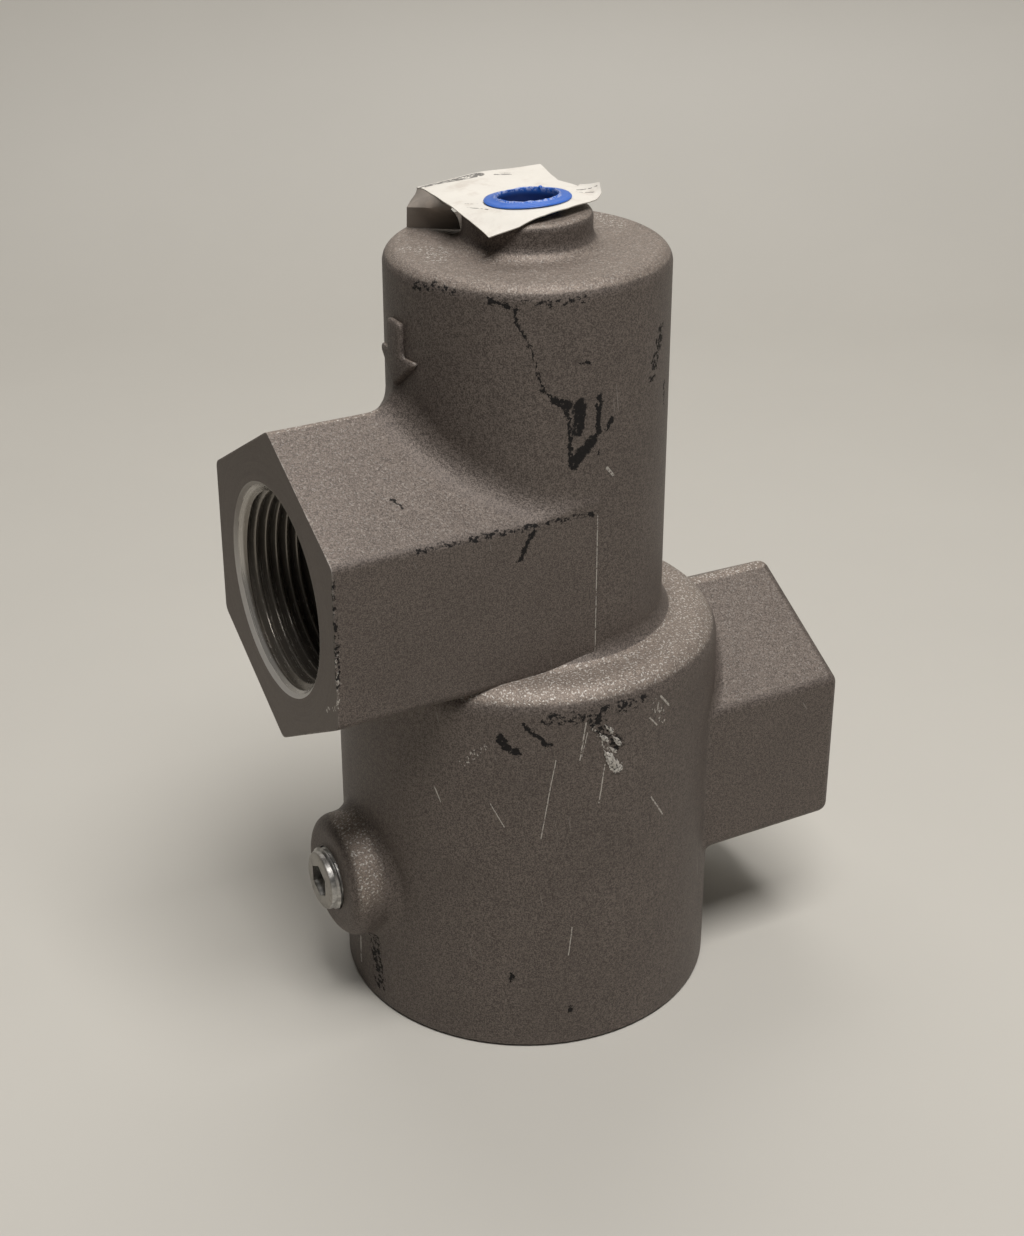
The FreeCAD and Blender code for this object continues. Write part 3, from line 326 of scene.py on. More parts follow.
class Wiring:
    """A node tree with short ways to add and join nodes."""

    def __init__(self, tree):
        self.tree = tree

    def add(self, kind, **settings):
        node = self.tree.nodes.new(kind)
        for key, value in settings.items():
            setattr(node, key, value)
        return node

    def feed(self, socket, value):
        """Join a socket's output, or set a plain value, on an input."""
        if isinstance(value, bpy.types.NodeSocket):
            self.tree.links.new(value, socket)
        else:
            socket.default_value = value

    def fill(self, node, **values):
        """Feed inputs by name, an underscore standing for a space, and give the outputs."""
        for key, value in values.items():
            self.feed(node.inputs[key.replace("_", " ")], value)
        return node.outputs

    def chain(self, kind, *values, **settings):
        """Feed a new node's first inputs in their order and give its outputs."""
        node = self.add(kind, **settings)
        for socket, value in zip(node.inputs, values):
            self.feed(socket, value)
        return node.outputs

    def math(self, operation, *values, clamp=False):
        return self.chain("ShaderNodeMath", *values, operation=operation, use_clamp=clamp)[0]

    def times(self, first, *others):
        """The product of all values."""
        for other in others:
            first = self.math("MULTIPLY", first, other)
        return first

    def most(self, first, *others):
        """The largest of all values."""
        for other in others:
            first = self.math("MAXIMUM", first, other)
        return first

    def line(self, value, slope, start):
        """A value times slope, and start added."""
        return self.math("MULTIPLY_ADD", value, slope, start)

    def minus(self, value, other):
        return self.math("SUBTRACT", value, other)

    def below(self, value, limit):
        return self.math("LESS_THAN", value, limit)

    def above(self, value, limit):
        return self.math("GREATER_THAN", value, limit)

    def vector(self, operation, *values):
        single = operation in ("LENGTH", "DOT_PRODUCT")
        return self.chain("ShaderNodeVectorMath", *values,
                          operation=operation)["Value" if single else "Vector"]

    def scale(self, vector, factor):
        node = self.add("ShaderNodeVectorMath", operation="SCALE")
        return self.fill(node, Vector=vector, Scale=factor)["Vector"]

    def join(self, x, y, z):
        return self.chain("ShaderNodeCombineXYZ", x, y, z)[0]

    def split(self, vector):
        return self.chain("ShaderNodeSeparateXYZ", vector)

    def radius(self, x, y):
        """How far x and y are from an axis."""
        return self.vector("LENGTH", self.join(x, y, 0.0))

    def noise(self, where, scale, detail, roughness, output="Fac"):
        return self.fill(self.add("ShaderNodeTexNoise"), Vector=where, Scale=scale,
                         Detail=detail, Roughness=roughness)[output]

    def stray(self, where, scale, reach):
        """A place pushed about by noise."""
        push = self.vector("SUBTRACT", self.noise(where, scale, 4.0, 0.7, "Color"),
                           (0.5, 0.5, 0.5))
        return self.vector("ADD", where, self.scale(push, reach * 4))

    def step(self, value, low, high, to=(0.0, 1.0)):
        """A smooth step from low to high."""
        node = self.add("ShaderNodeMapRange", interpolation_type="SMOOTHSTEP")
        return self.fill(node, Value=value, From_Min=low, From_Max=high, To_Min=to[0],
                         To_Max=to[1])["Result"]

    def band(self, value, start, full, fall, end):
        """A mask that rises from start to full and falls from fall to end."""
        return self.times(self.step(value, start, full), self.step(value, end, fall))

    def patches(self, where, scale, detail, roughness, low, high, to=(0.0, 1.0)):
        """Noise cut by a smooth step from low to high."""
        return self.step(self.noise(where, scale, detail, roughness), low, high, to)

    def mix(self, share, first, second):
        first, second = (value if isinstance(value, bpy.types.NodeSocket) else (*value[:3], 1.0)
                         for value in (first, second))
        node = self.add("ShaderNodeMix", data_type="RGBA")
        for index, value in ((0, share), (6, first), (7, second)):
            self.feed(node.inputs[index], value)
        return node.outputs[2]

    def spot(self):
        """The place on the piece in millimetres."""
        return self.scale(self.add("ShaderNodeTexCoord").outputs["Object"], 1 / MM)

    def use(self, group, **values):
        """Place a node group and give its inputs."""
        return self.fill(self.add("ShaderNodeGroup", node_tree=group), **values)

    def surface(self, colour, roughness, metallic=0.0, height=None, strength=1.0):
        """Feed the material's shader. The height of its relief is in millimetres."""
        shader = self.tree.nodes["Principled BSDF"]
        self.fill(shader, Base_Color=colour, Roughness=roughness, Metallic=metallic)
        if height is not None:
            normal = self.fill(self.add("ShaderNodeBump"), Strength=strength, Distance=MM,
                               Height=height)["Normal"]
            self.feed(shader.inputs["Normal"], normal)
        return shader


def group(name, outputs, **inputs):
    """A node group with a spot and named inputs: its wiring, what it is given, its end node."""
    tree = bpy.data.node_groups.new(name, "ShaderNodeTree")
    for label, default in {"Spot": (0.0, 0.0, 0.0), **inputs}.items():
        kind = "NodeSocketVector" if isinstance(default, tuple) else "NodeSocketFloat"
        socket = tree.interface.new_socket(label, in_out="INPUT", socket_type=kind)
        socket.default_value = default
    for label in outputs:
        tree.interface.new_socket(label, in_out="OUTPUT", socket_type="NodeSocketFloat")
    wiring = Wiring(tree)
    return wiring, wiring.add("NodeGroupInput").outputs, wiring.add("NodeGroupOutput")


@cache
def stroke_group():
    """A mark along the straight line between two points, with a given half width."""
    w, given, out = group("Stroke", ["Mask"], From=(0.0, 0.0, 0.0), To=(0.0, 0.0, 1.0),
                          Reach=0.5)
    run = w.vector("SUBTRACT", given["To"], given["From"])
    reach = w.vector("SUBTRACT", given["Spot"], given["From"])
    share = w.math("DIVIDE", w.vector("DOT_PRODUCT", reach, run),
                   w.vector("DOT_PRODUCT", run, run), clamp=True)
    away = w.vector("LENGTH", w.vector("SUBTRACT", reach, w.scale(run, share)))
    w.fill(out, Mask=w.step(w.math("DIVIDE", away, given["Reach"]), 1.1, 0.8))
    return w.tree


@cache
def grain_group():
    """Sand-cast skin: height in millimetres, tone and bright specks."""
    w, given, out = group("Cast grain", ["Height", "Tone", "Specks"], Size=0.4, Depth=0.05)
    size = given["Size"]
    spot = w.vector("DIVIDE", given["Spot"], w.join(size, size, size))
    fine = w.noise(spot, 1.0, 2.0, 0.65)
    coarse = w.noise(spot, 0.4, 1.0, 0.5)
    swell = w.noise(spot, 0.03, 1.0, 0.5)
    height = w.times(w.line(coarse, 0.7, fine), given["Depth"])
    w.fill(out, Height=w.line(swell, 0.4, height),
           Tone=w.step(w.line(coarse, 0.3, fine), 0.46, 0.86),
           Specks=w.patches(spot, 1.4, 1.0, 0.5, 0.62, 0.74))
    return w.tree


@cache
def lathe_group():
    """Turning lines round an axis along Z: height in millimetres and a faint streak."""
    w, given, out = group("Turning lines", ["Height", "Streak"], Feed=0.25, Depth=0.006)
    x, y, z = w.split(given["Spot"])
    radius = w.radius(x, y)
    phase = w.math("DIVIDE", w.math("ADD", radius, z), given["Feed"])
    wave = w.math("SINE", w.times(phase, 2 * math.pi))
    w.fill(out, Height=w.times(wave, given["Depth"]),
           Streak=w.patches(w.join(radius, z, w.times(x, 0.02)), 2.2, 3.0, 0.6, 0.35, 0.65))
    return w.tree


@cache
def scratch_group():
    """Fine random scratches that run mostly along Z."""
    w, given, out = group("Fine scratches", ["Mask"], Amount=0.5)
    x, y, z = w.split(given["Spot"])
    arc = w.times(w.math("ARCTAN2", x, w.times(y, -1.0)), 36.0)
    lean = w.math("ADD", arc, w.times(z, 0.16))
    lines = w.patches(w.join(w.times(lean, 2.4), w.times(z, 0.06), 3.0), 1.0, 2.0, 0.6, 0.7, 0.74)
    where = w.patches(given["Spot"], 0.07, 2.0, 0.5, 0.48, 0.6)
    w.fill(out, Mask=w.times(lines, where, given["Amount"]))
    return w.tree


@cache
def fibre_group():
    """Paper fibre: height in millimetres and tone."""
    w, given, out = group("Paper fibre", ["Height", "Tone"])
    fibre = w.noise(given["Spot"], 3.0, 6.0, 0.7)
    crease = w.noise(given["Spot"], 0.14, 3.0, 0.6)
    w.fill(out, Height=w.math("ADD", w.times(fibre, 0.03), w.times(crease, 0.5)),
           Tone=w.step(w.math("ADD", w.times(fibre, 0.3), w.times(crease, 0.7)), 0.3, 0.7))
    return w.tree


def new_material(name):
    """A material and its wiring."""
    material = bpy.data.materials.new(name)
    material.use_nodes = True
    return material, Wiring(material.node_tree)


def shade(hue, factor):
    """A hue with every channel times factor."""
    return [channel * factor for channel in hue]


def at(radius, bearing, height):
    """A point on a round wall, in millimetres."""
    return polar(radius, math.radians(bearing + FRONT), height)


# Sizes of the casting, in millimetres: its round walls, the ports' flat sides, the top face and
# the height where its two skins part, since one material can't hold all the marks
UPPER = 28.0
LOWER = 39.7
FLAT = 57.15 / 2
TOP = 161.5
SKIN_SPLIT = 84.0
# Each main port's thread, its side of the axis, its height, and how far out its face and the
# inner end of its bore are
PORTS = (("outlet_thread", -1, 100.0, 55.5, 22.0), ("inlet_thread", 1, 47.2, 61.4, 40.0))
# What was cut after casting: the base rim's height, the chamber's radius and top, and at a port
# the radii of its bore and cone, and how far in from the face the cut look and the cone reach
BASE_RIM = 0.62
CHAMBER, CHAMBER_TOP = 27.0, 152.2
PORT_BORE, PORT_CONE = 21.6, 21.52
FACE_SKIN, CONE_DEPTH = 0.01, 1.01
# Where dust lies and sheen is painted: heights of the top face's rounded edge and of the lower
# cylinder's shoulder, the side boss along X, and the height that the boss stays under. On the
# rounded edges and the boss the pale colour is a painted highlight
DUST_AND_SHEEN_TOP_EDGE = (155.5, 157.0)
DUST_AND_SHEEN_SHOULDER = (79.0, 80.0, 84.3, 85.0)
DUST_AND_SHEEN_BOSS = (-46.2, -44.8, -42.5, -38.5)
DUST_AND_SHEEN_BOSS_TOP = 62.0

# Marks on the casting: the radius of the round wall they lie on, their points as bearing and
# height on it, and half their width. Without a wall the points are x, y and z.
BLACK_MARKS = [
    (UPPER, [(-43, 158.7), (-37, 158.1), (-33, 157.3)], 0.5),
    (UPPER, [(-34, 157.6), (-33, 155.0), (-30, 152.3)], 0.4),
    (UPPER, [(-30, 152.3), (-27, 149.0), (-25, 145.0)], 0.22),
    (UPPER, [(-25, 145.0), (-22.9, 141.4), (-17.9, 139.4)], 0.32),
    (UPPER, [(-17.9, 139.4), (-13.0, 138.2)], 0.8),
    (UPPER, [(-14.0, 138.0), (-12.3, 133.5), (-12.2, 127.6)], 0.45),
    (UPPER, [(-8.4, 138.2), (-8.8, 132.9)], 1.3),
    (UPPER, [(0.0, 139.8), (-0.6, 132.3), (-2.2, 130.2)], 0.62),
    (UPPER, [(-3.1, 130.7), (-7.3, 128.4), (-10.9, 126.6)], 1.25),
    (UPPER, [(3.2, 132.5), (6.0, 134.2)], 0.55),
    (UPPER, [(0.0, 128.6), (-0.4, 127.4)], 0.3),
    (UPPER, [(-8, 146.4), (-5, 146.2)], 0.4),
    (UPPER, [(29, 142.6), (33, 144.6), (37, 149.0)], 0.35),
    (UPPER, [(42, 136.0), (43, 131.4)], 0.35),
    (None, [(-17.2, -FLAT, 109.6), (-15.9, -FLAT, 112.6), (-14.2, -FLAT, 114.8)], 0.6),
    (None, [(-38.4, -18.0, 122.5), (-37.3, -19.8, 121.6)], 0.4),
    (LOWER, [(-36, 74.6), (-35, 72.6), (-31.4, 71.6)], 0.9),
    (LOWER, [(-30, 77.7), (-26, 75.0), (-22.7, 72.9)], 0.5),
    (LOWER, [(-24.7, 78.3), (-23.3, 77.9)], 0.5),
    (LOWER, [(-33, 18.6), (-33, 17.2)], 0.5),
    (LOWER, [(-15, 9.4), (-15, 8.2)], 0.45),
]
SPECKLED_MARKS = [
    (LOWER, [(-22, 78.6), (-14, 78.5), (-6, 79.0), (6, 79.2)], 1.3),
    (LOWER, [(-9, 77.0), (-2, 71.0)], 1.6),
    (UPPER, [(-44, 158.8), (-20, 158.2), (-6, 158.8)], 0.7),
    (UPPER, [(-76, 158.6), (-66, 160.1), (-58, 159.4)], 1.0),
    (UPPER, [(29, 139.5), (36, 148.0)], 1.4),
    (None, [(-41.0, -FLAT, 116.4), (-20.0, -FLAT, 116.2), (-1.0, -FLAT, 116.0)], 0.6),
    (None, [(-55.4, -FLAT, 114.0), (-55.4, -FLAT, 92.0)], 0.5),
    (LOWER, [(-83, 18.0), (-81, 5.0)], 2.2),
]
BRIGHT_MARKS = [
    (LOWER, [(-11.9, 77.2), (-13.5, 69.0)], 0.13),
    (LOWER, [(-11.4, 74.9), (-13.0, 69.7)], 0.08),
    (LOWER, [(-5.9, 67.0), (-7.5, 58.4)], 0.12),
    (LOWER, [(10.5, 55.8), (15.5, 50.3)], 0.17),
    (LOWER, [(13.0, 78.4), (16.6, 75.4)], 0.22),
    (LOWER, [(9.0, 74.5), (11.8, 72.2)], 0.15),
    (LOWER, [(-20.4, 69.6), (-21.8, 64.0), (-24.5, 51.6)], 0.09),
    (LOWER, [(-39, 59.4), (-35, 54.3)], 0.09),
    (LOWER, [(-56, 61.0), (-54, 57.8)], 0.12),
    (LOWER, [(-15, 29.6), (-16, 22.8)], 0.1),
    (LOWER, [(-92.5, 11.6), (-93, 5.1)], 0.35),
    (UPPER, [(4, 124.5), (7, 122.7)], 0.3),
    # A thin bright line where the outlet's flat ends at the parting line: a painted highlight on
    # that edge
    (None, [(-0.3, -FLAT, 115.5), (-0.3, -FLAT, 86.0)], 0.1),
    (None, [(-55.5, -10.9, 127.8), (-55.3, -11.9, 127.3)], 0.4),
    (None, [(-55.5, -28.4, 94.6), (-55.3, -28.5, 93.4)], 0.4),
]
GLINT_MARKS = [
    (LOWER, [(-47, 68.0), (-41, 72.0)], 0.8),
    (LOWER, [(11, 77.0), (14, 73.0)], 1.3),
    (LOWER, [(-9.5, 76.0), (-1.5, 66.0)], 0.6),
    (UPPER, [(-84, 160.6), (-76, 160.9), (-70, 160.9)], 0.8),
    (None, [(-22.0, 6.5, TOP), (-17.5, 3.5, TOP), (-20.5, -1.5, TOP)], 2.4),
    (None, [(21.8, 9.0, TOP), (21.0, 1.5, TOP)], 2.0),
    (None, [(-55.4, -FLAT, 100.0), (-55.4, -FLAT, 88.5), (-55.4, -22.0, 84.5)], 0.5),
]
# Each flake's two ends as bearing and height, half its width and how far it stands up
GOUGE_FLAKES = [
    ((-7.9, 74.3), (-5.2, 72.1), 0.55, 0.4),
    ((-6.2, 76.0), (-3.4, 73.6), 0.45, 0.35),
    ((-3.9, 73.3), (-0.9, 70.5), 0.55, 0.45),
    ((-4.9, 70.9), (-2.3, 69.1), 0.4, 0.3),
    ((-6.2, 70.2), (-1.6, 64.8), 1.25, 0.8),
]


def on_casting(lines, low, high):
    """Marks that start between two heights, as their points and half their width."""
    placed = [([at(wall, *point) if wall else point for point in points], reach)
              for wall, points, reach in lines]
    return [(points, reach) for points, reach in placed if low <= points[0][2] < high]


def marks(wiring, spot, lines, wander, scale=0.6):
    """The strongest of several lines at this spot, each strayed by wander millimetres."""
    spot = wiring.stray(spot, scale, wander)
    found = 0.0
    for points, reach in lines:
        for start, end in zip(points, points[1:]):
            mask = wiring.use(stroke_group(), Spot=spot, From=start, To=end, Reach=reach)["Mask"]
            found = wiring.most(found, mask)
    return found


def cast_material(name, low, high):
    """Dark anodised casting with machined faces, wear, and the marks between two heights."""
    material, w = new_material(name)
    hues = finishes()
    spot = w.spot()
    x, y, z = w.split(spot)
    grain = w.use(grain_group(), Spot=spot, Size=sizes().grain / MM, Depth=0.12)
    lathe = w.use(lathe_group(), Spot=w.join(y, w.minus(z, PORTS[0][2]), x), Feed=0.35,
                  Depth=0.004)

    # Port faces, base rim and inner bores were cut after casting
    cut = w.most(w.below(z, BASE_RIM),
                 w.times(w.below(w.radius(x, y), CHAMBER), w.below(z, CHAMBER_TOP)))
    cone = 0.0
    for _, side, height, face, inner_end in PORTS:
        ring = w.radius(y, w.minus(z, height))
        reach = w.times(x, side)
        bore = w.times(w.below(ring, PORT_BORE), w.above(reach, inner_end))
        cut = w.most(cut, w.above(reach, face - FACE_SKIN), bore)
        cone = w.most(cone, w.times(w.below(ring, PORT_CONE), w.above(reach, face - CONE_DEPTH)))

    # Wear where the shape has an outer edge, but not along the parting line
    rounded = w.fill(w.add("ShaderNodeBevel", samples=6), Radius=0.7 * MM)["Normal"]
    facing = w.add("ShaderNodeNewGeometry").outputs["Normal"]
    edges = w.step(w.vector("DOT_PRODUCT", rounded, facing), 0.985, 0.88)
    seam = w.step(w.math("ABSOLUTE", x), 1.4, 0.7)
    worn = w.times(edges, w.patches(spot, 0.5, 4.0, 0.7, 0.42, 0.66), w.minus(1.0, seam))

    # Scuffs, scratches and glints, each torn into patches
    solid, speckled, bright, glints = (
        marks(w, spot, on_casting(lines, low, high), wander, scale)
        for lines, wander, scale in ((BLACK_MARKS, 0.75, 0.8), (SPECKLED_MARKS, 0.7, 0.5),
                                     (BRIGHT_MARKS, 0.05, 0.6), (GLINT_MARKS, 0.6, 0.5)))
    tear = w.noise(spot, 1.4, 3.0, 0.65)
    black = w.most(w.times(solid, w.step(tear, 0.24, 0.4)),
                   w.times(speckled, w.patches(spot, 0.9, 4.0, 0.7, 0.49, 0.55)))
    drawn = w.join(w.times(x, 1.6), w.times(y, 1.6), w.times(z, 0.9))
    bright = w.most(w.times(bright, w.step(tear, 0.36, 0.52)),
                    w.times(glints, w.patches(drawn, 1.1, 3.0, 0.65, 0.56, 0.6)))
    fine = w.use(scratch_group(), Spot=spot, Amount=0.5)["Mask"]

    # The cast skin's two shades, and the cut faces with bright cones at the ports
    tone = w.line(grain["Specks"], 0.45, grain["Tone"])
    blotch = w.patches(spot, 0.05, 4.0, 0.6, 0.3, 0.7, (0.8, 1.0))
    cast = w.mix(w.times(tone, blotch), hues.cast_dark, hues.cast_light)
    turned = w.mix(w.times(lathe["Streak"], 0.4), hues.machined, shade(hues.machined, 0.7))
    turned = w.mix(w.times(grain["Specks"], 0.3), turned, hues.cast_light)
    # Painted highlight: the cones' bare metal grows stronger lower down
    turned = w.mix(w.times(cone, w.step(z, 112.0, 90.0, (0.3, 0.85))), turned, hues.bare)

    # Dust and painted sheen: real dust on level faces, plus a painted highlight on the rounded
    # edges and on the boss's side facing the light, and painted sparkle in all of it
    rounding = w.most(w.step(z, *DUST_AND_SHEEN_TOP_EDGE), w.band(z, *DUST_AND_SHEEN_SHOULDER))
    level = w.step(w.split(facing)[2], w.line(rounding, -0.35, 0.82),
                   w.line(rounding, -0.35, 0.97), (0.0, 0.46))
    boss = w.times(w.below(z, DUST_AND_SHEEN_BOSS_TOP), w.band(x, *DUST_AND_SHEEN_BOSS))
    # Painted highlight: the boss is made lighter on its side that faces this light direction
    facing_painted_light = w.vector("DOT_PRODUCT", facing, (-0.3, -0.6, 0.74))
    level = w.most(level, w.times(boss, w.step(facing_painted_light, 0.45, 0.95, (0.0, 0.7))))
    # Painted sheen: weaker on the top face than on the shoulder below it
    level = w.times(level, w.step(z, 140.0, 152.0, (1.0, 0.78)))
    cast = w.mix(w.times(level, w.line(grain["Tone"], 0.6, 0.5)), cast, hues.dust)
    # Painted sparkle: bare-metal specks on level faces as painted glints, stronger below the top
    # face
    painted_sparkle = w.times(level, w.patches(spot, 2.3, 1.0, 0.5, 0.58, 0.66))
    cast = w.mix(w.times(painted_sparkle, w.step(z, 140.0, 152.0, (1.5, 0.6))), cast, hues.bare)

    colour = w.mix(cut, cast, turned)
    for mask, share, hue in ((fine, 0.4, hues.bare), (worn, 0.4, hues.bare),
                             (bright, 0.8, hues.bare), (black, 0.95, hues.scuff)):
        colour = w.mix(w.times(mask, share), colour, hue)
    metal = w.times(w.most(w.line(cut, 0.05, 0.3), w.times(bright, 0.9)), w.minus(1.0, black))
    gloss = w.line(grain["Tone"], 0.1, w.line(black, 0.35, 0.47))
    sand = w.times(grain["Height"], w.line(cut, -0.9, 1.0))
    shader = w.surface(colour, gloss, metal, w.line(lathe["Height"], cut, sand), 0.8)
    shader.inputs["Specular IOR Level"].default_value = 0.3
    return material


def burr_material():
    """Torn bare metal with near-black patches of painted shade."""
    material, w = new_material("torn_metal")
    pits_and_painted_shade = w.noise(w.spot(), 1.5, 4.0, 0.7)
    hue = finishes().bare
    w.surface(w.mix(w.step(pits_and_painted_shade, 0.4, 0.49), shade(hue, 0.1), hue), w.line(pits_and_painted_shade, 0.3, 0.2),
              0.5, w.times(pits_and_painted_shade, 0.3), 0.8)
    return material


def turned_material(name, hue, roughness, feed, metallic=1.0):
    """Metal or plastic turned on a lathe about Z."""
    material, w = new_material(name)
    spot = w.spot()
    lathe = w.use(lathe_group(), Spot=spot, Feed=feed, Depth=0.005)
    stain = w.patches(spot, 0.12, 4.0, 0.6, 0.3, 0.75)
    tone = w.line(lathe["Streak"], 0.5, w.times(stain, 0.5))
    w.surface(w.mix(tone, shade(hue, 0.72), hue), w.line(stain, 0.12, roughness), metallic,
              lathe["Height"], 0.6)
    return material


def rubber_material():
    material, w = new_material("seal_rubber")
    dust = w.patches(w.spot(), 0.9, 5.0, 0.7, 0.45, 0.8)
    hue = finishes().rubber
    w.surface(w.mix(dust, hue, shade(hue, 2.2)), w.line(dust, 0.25, 0.45),
              height=w.times(dust, 0.01), strength=0.5)
    return material


def thread_material(name, side, height, face):
    """Cut pipe thread: bright chamfered start, dark oily flanks further in, and a painted
    highlight that makes the bright metal stronger low in the port.
    """
    material, w = new_material(name)
    hues = finishes()
    x, y, z = w.split(w.spot())
    depth = w.times(w.minus(x, side * face), -side)
    radius = w.radius(y, w.minus(z, height))
    chatter = w.noise(w.join(w.times(radius, 3.0), depth, w.times(y, 0.3)), 1.6, 4.0, 0.65)
    bright = w.most(w.step(depth, 1.6, 1.3), w.step(chatter, 0.6, 0.75))
    # Painted highlight: the bright metal is stronger towards the bottom of the port
    painted_low_highlight = w.step(z, height + 12.0, height - 10.0, (0.4, 0.85))
    w.surface(w.mix(w.times(bright, painted_low_highlight), hues.thread, hues.bare), w.line(chatter, 0.25, 0.12),
              0.6, w.times(chatter, 0.05), 0.5)
    return material


def zinc_material():
    """Zinc plate with spangle, grime and a duller outer face."""
    material, w = new_material("zinc_plug")
    hues = finishes()
    spot = w.spot()
    spangle = w.patches(spot, 0.8, 4.0, 0.6, 0.3, 0.7)
    dents = w.noise(spot, 1.6, 3.0, 0.6)
    grime = w.patches(spot, 0.45, 4.0, 0.6, 0.52, 0.68)
    face = w.below(w.split(spot)[0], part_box("supply_port_plug")[0].x / MM + 0.35)
    colour = w.mix(spangle, shade(hues.zinc, 0.62), hues.zinc)
    colour = w.mix(w.times(grime, 0.5), colour, hues.cast_dark)
    colour = w.mix(w.times(face, 0.6), colour, hues.thread)
    w.surface(colour, w.line(spangle, 0.2, 0.3), 0.9, w.times(dents, 0.12), 0.6)
    return material


def blue_material():
    """Moulded plastic, with painted shade darkening it down the hollow, and pale where the rim was
    torn.
    """
    material, w = new_material("blue_plastic")
    hue = finishes().blue
    pale = [0.35 + channel for channel in shade(hue, 0.65)]
    spot = w.spot()
    haze = w.patches(spot, 0.6, 4.0, 0.6, 0.35, 0.75)
    flow = w.noise(spot, 2.4, 3.0, 0.6)
    x, y, z = w.split(spot)
    radius = w.radius(x, y)
    # Painted shade inside the hollow, deeper further down
    hollow = w.times(w.step(radius, 6.05, 5.95), w.step(z, 170.8, 169.0))
    crest = w.step(w.math("ABSOLUTE", w.minus(radius, 6.2)), 0.38, 0.24)
    torn = w.times(crest, w.step(z, 169.7, 170.1), w.patches(spot, 1.5, 3.0, 0.65, 0.47, 0.55))
    colour = w.mix(w.times(haze, 0.1), hue, pale)
    colour = w.mix(w.times(hollow, 0.95), colour, finishes().blue_painted_shade)
    w.surface(w.mix(w.times(torn, 0.75), colour, pale), w.line(haze, 0.14, 0.3),
              height=w.times(flow, 0.03), strength=0.4)
    return material


def tag_material(name, hue, smudged):
    """Fibrous paper with creases and smudges."""
    material, w = new_material(name)
    spot = w.spot()
    fibre = w.use(fibre_group(), Spot=spot)
    colour = w.mix(w.times(fibre["Tone"], 0.25), hue, shade(hue, 0.82))
    stain = w.patches(spot, 0.2, 4.0, 0.6, 0.5, 0.72, (0.0, 0.35))
    colour = w.mix(stain, colour, finishes().dust)
    if smudged:
        laid = [([(x, y, tag_height(x, y)) for x, y in line], reach) for line, reach in smudged]
        smudges = w.times(marks(w, spot, laid, 0.12), w.patches(spot, 1.1, 3.0, 0.6, 0.38, 0.5))
        colour = w.mix(w.times(smudges, 0.85), colour, finishes().print_grey)
    w.surface(colour, 0.62, height=fibre["Height"], strength=0.5)
    return material


# Smudges on the tag: their line seen from above and half its width
TAG_SMUDGES = [
    ([(-10.6, 22.3), (-4.0, 22.1), (0.8, 22.0)], 1.4),
    ([(3.7, 20.1), (6.2, 18.4)], 0.34),
    ([(5.0, 20.6), (6.6, 19.6)], 0.26),
    ([(-11.4, 3.0), (-9.4, -1.6)], 0.2),
    ([(-10.6, 5.4), (-8.8, 3.6)], 0.15),
    ([(11.6, 1.2), (14.2, -1.8)], 0.22),
    ([(10.6, 0.0), (13.0, -2.8)], 0.15),
]


# Pieces


def parting_line(name, radius, bottom, top, bearing, material):
    """A slim ridge up a round wall, in millimetres."""
    tall = (top - bottom) * MM
    ridge = added(name, bpy.ops.mesh.primitive_cylinder_add, vertices=16, radius=1.0, depth=tall)
    with editing(ridge):
        bpy.ops.mesh.subdivide(number_cuts=1)
    half, rise = sizes().ridge_width / 2, sizes().ridge_rise

    def slim(co):
        fade = min(1.0, (tall / 2 - abs(co.z)) / (4 * MM) + 0.2)
        return Vector((co.x * half, co.y * rise * fade, co.z))
    shape(ridge, slim)
    seat(ridge, Matrix.Translation(at(radius, bearing, (bottom + top) / 2) * MM))
    finish_piece(ridge, "housing", material)


def gouge_flake(name, material, seed, start, end, half_width, rise):
    """A lifted flake of torn metal on the chamber wall, between two bearings and heights."""
    piece = added(name, bpy.ops.mesh.primitive_ico_sphere_add, subdivisions=5, radius=1.0)
    (bearing_0, height_0), (bearing_1, height_1) = start, end
    across = math.radians(bearing_1 - bearing_0) * LOWER
    drop = height_1 - height_0
    lean = math.atan2(drop, across)
    half_long = math.hypot(across, drop) / 2
    centre = math.radians((bearing_0 + bearing_1) / 2 + FRONT)
    middle = (height_0 + height_1) / 2
    sunk, belly = 0.15, 0.2

    def torn(co):
        rough = noise.noise(co * 2.1 + Vector((seed * 3.7, 0, 0)))
        fine = noise.noise(co * 6.0 + Vector((0, seed * 5.1, 0)))
        along = co.x * half_long * (1 + 0.35 * rough)
        side = co.y * half_width * (1 + 0.6 * rough + 0.3 * fine) * (0.75 + 0.45 * co.x)
        out = LOWER - sunk + max(0.0, co.z * rise * (1 + 0.7 * rough + 0.35 * fine)) \
            + min(0.0, co.z) * belly
        turned = centre + (along * math.cos(lean) - side * math.sin(lean)) / LOWER
        return polar(out, turned, middle + along * math.sin(lean) + side * math.cos(lean)) * MM
    shape(piece, torn)
    finish_piece(piece, "housing", material, smooth=50.0)


def flow_arrow(material):
    """A raised arrow cast on the wall above the outlet, pointing down to it."""
    half_shaft, half_head, tip, neck, tail, sunk = 2.7, 7.6, -7.0, -0.2, 6.4, 0.5 * MM
    outline = [(-half_shaft, tail), (-half_shaft, neck), (-half_head, neck), (0.0, tip),
               (half_head, neck), (half_shaft, neck), (half_shaft, tail)]
    arrow = trace("flow_arrow", [(x * MM, z * MM, 0.0) for x, z in outline], closed=True)
    with editing(arrow):
        extrude_faces(0, 0, sizes().arrow_rise + sunk)
    soften = close_up(arrow).modifiers.new("Cast edges", "BEVEL")
    soften.width = 0.9 * MM
    soften.segments = 3
    apply_all(arrow)
    bearing, middle = -90.0, 144.0

    def wrap(co):
        turned = math.radians(bearing + FRONT) + co.x / (UPPER * MM)
        return polar(UPPER * MM - sunk + co.z, turned, co.y + middle * MM)
    shape(arrow, wrap)
    finish_piece(close_up(arrow), "housing", material, smooth=60.0)


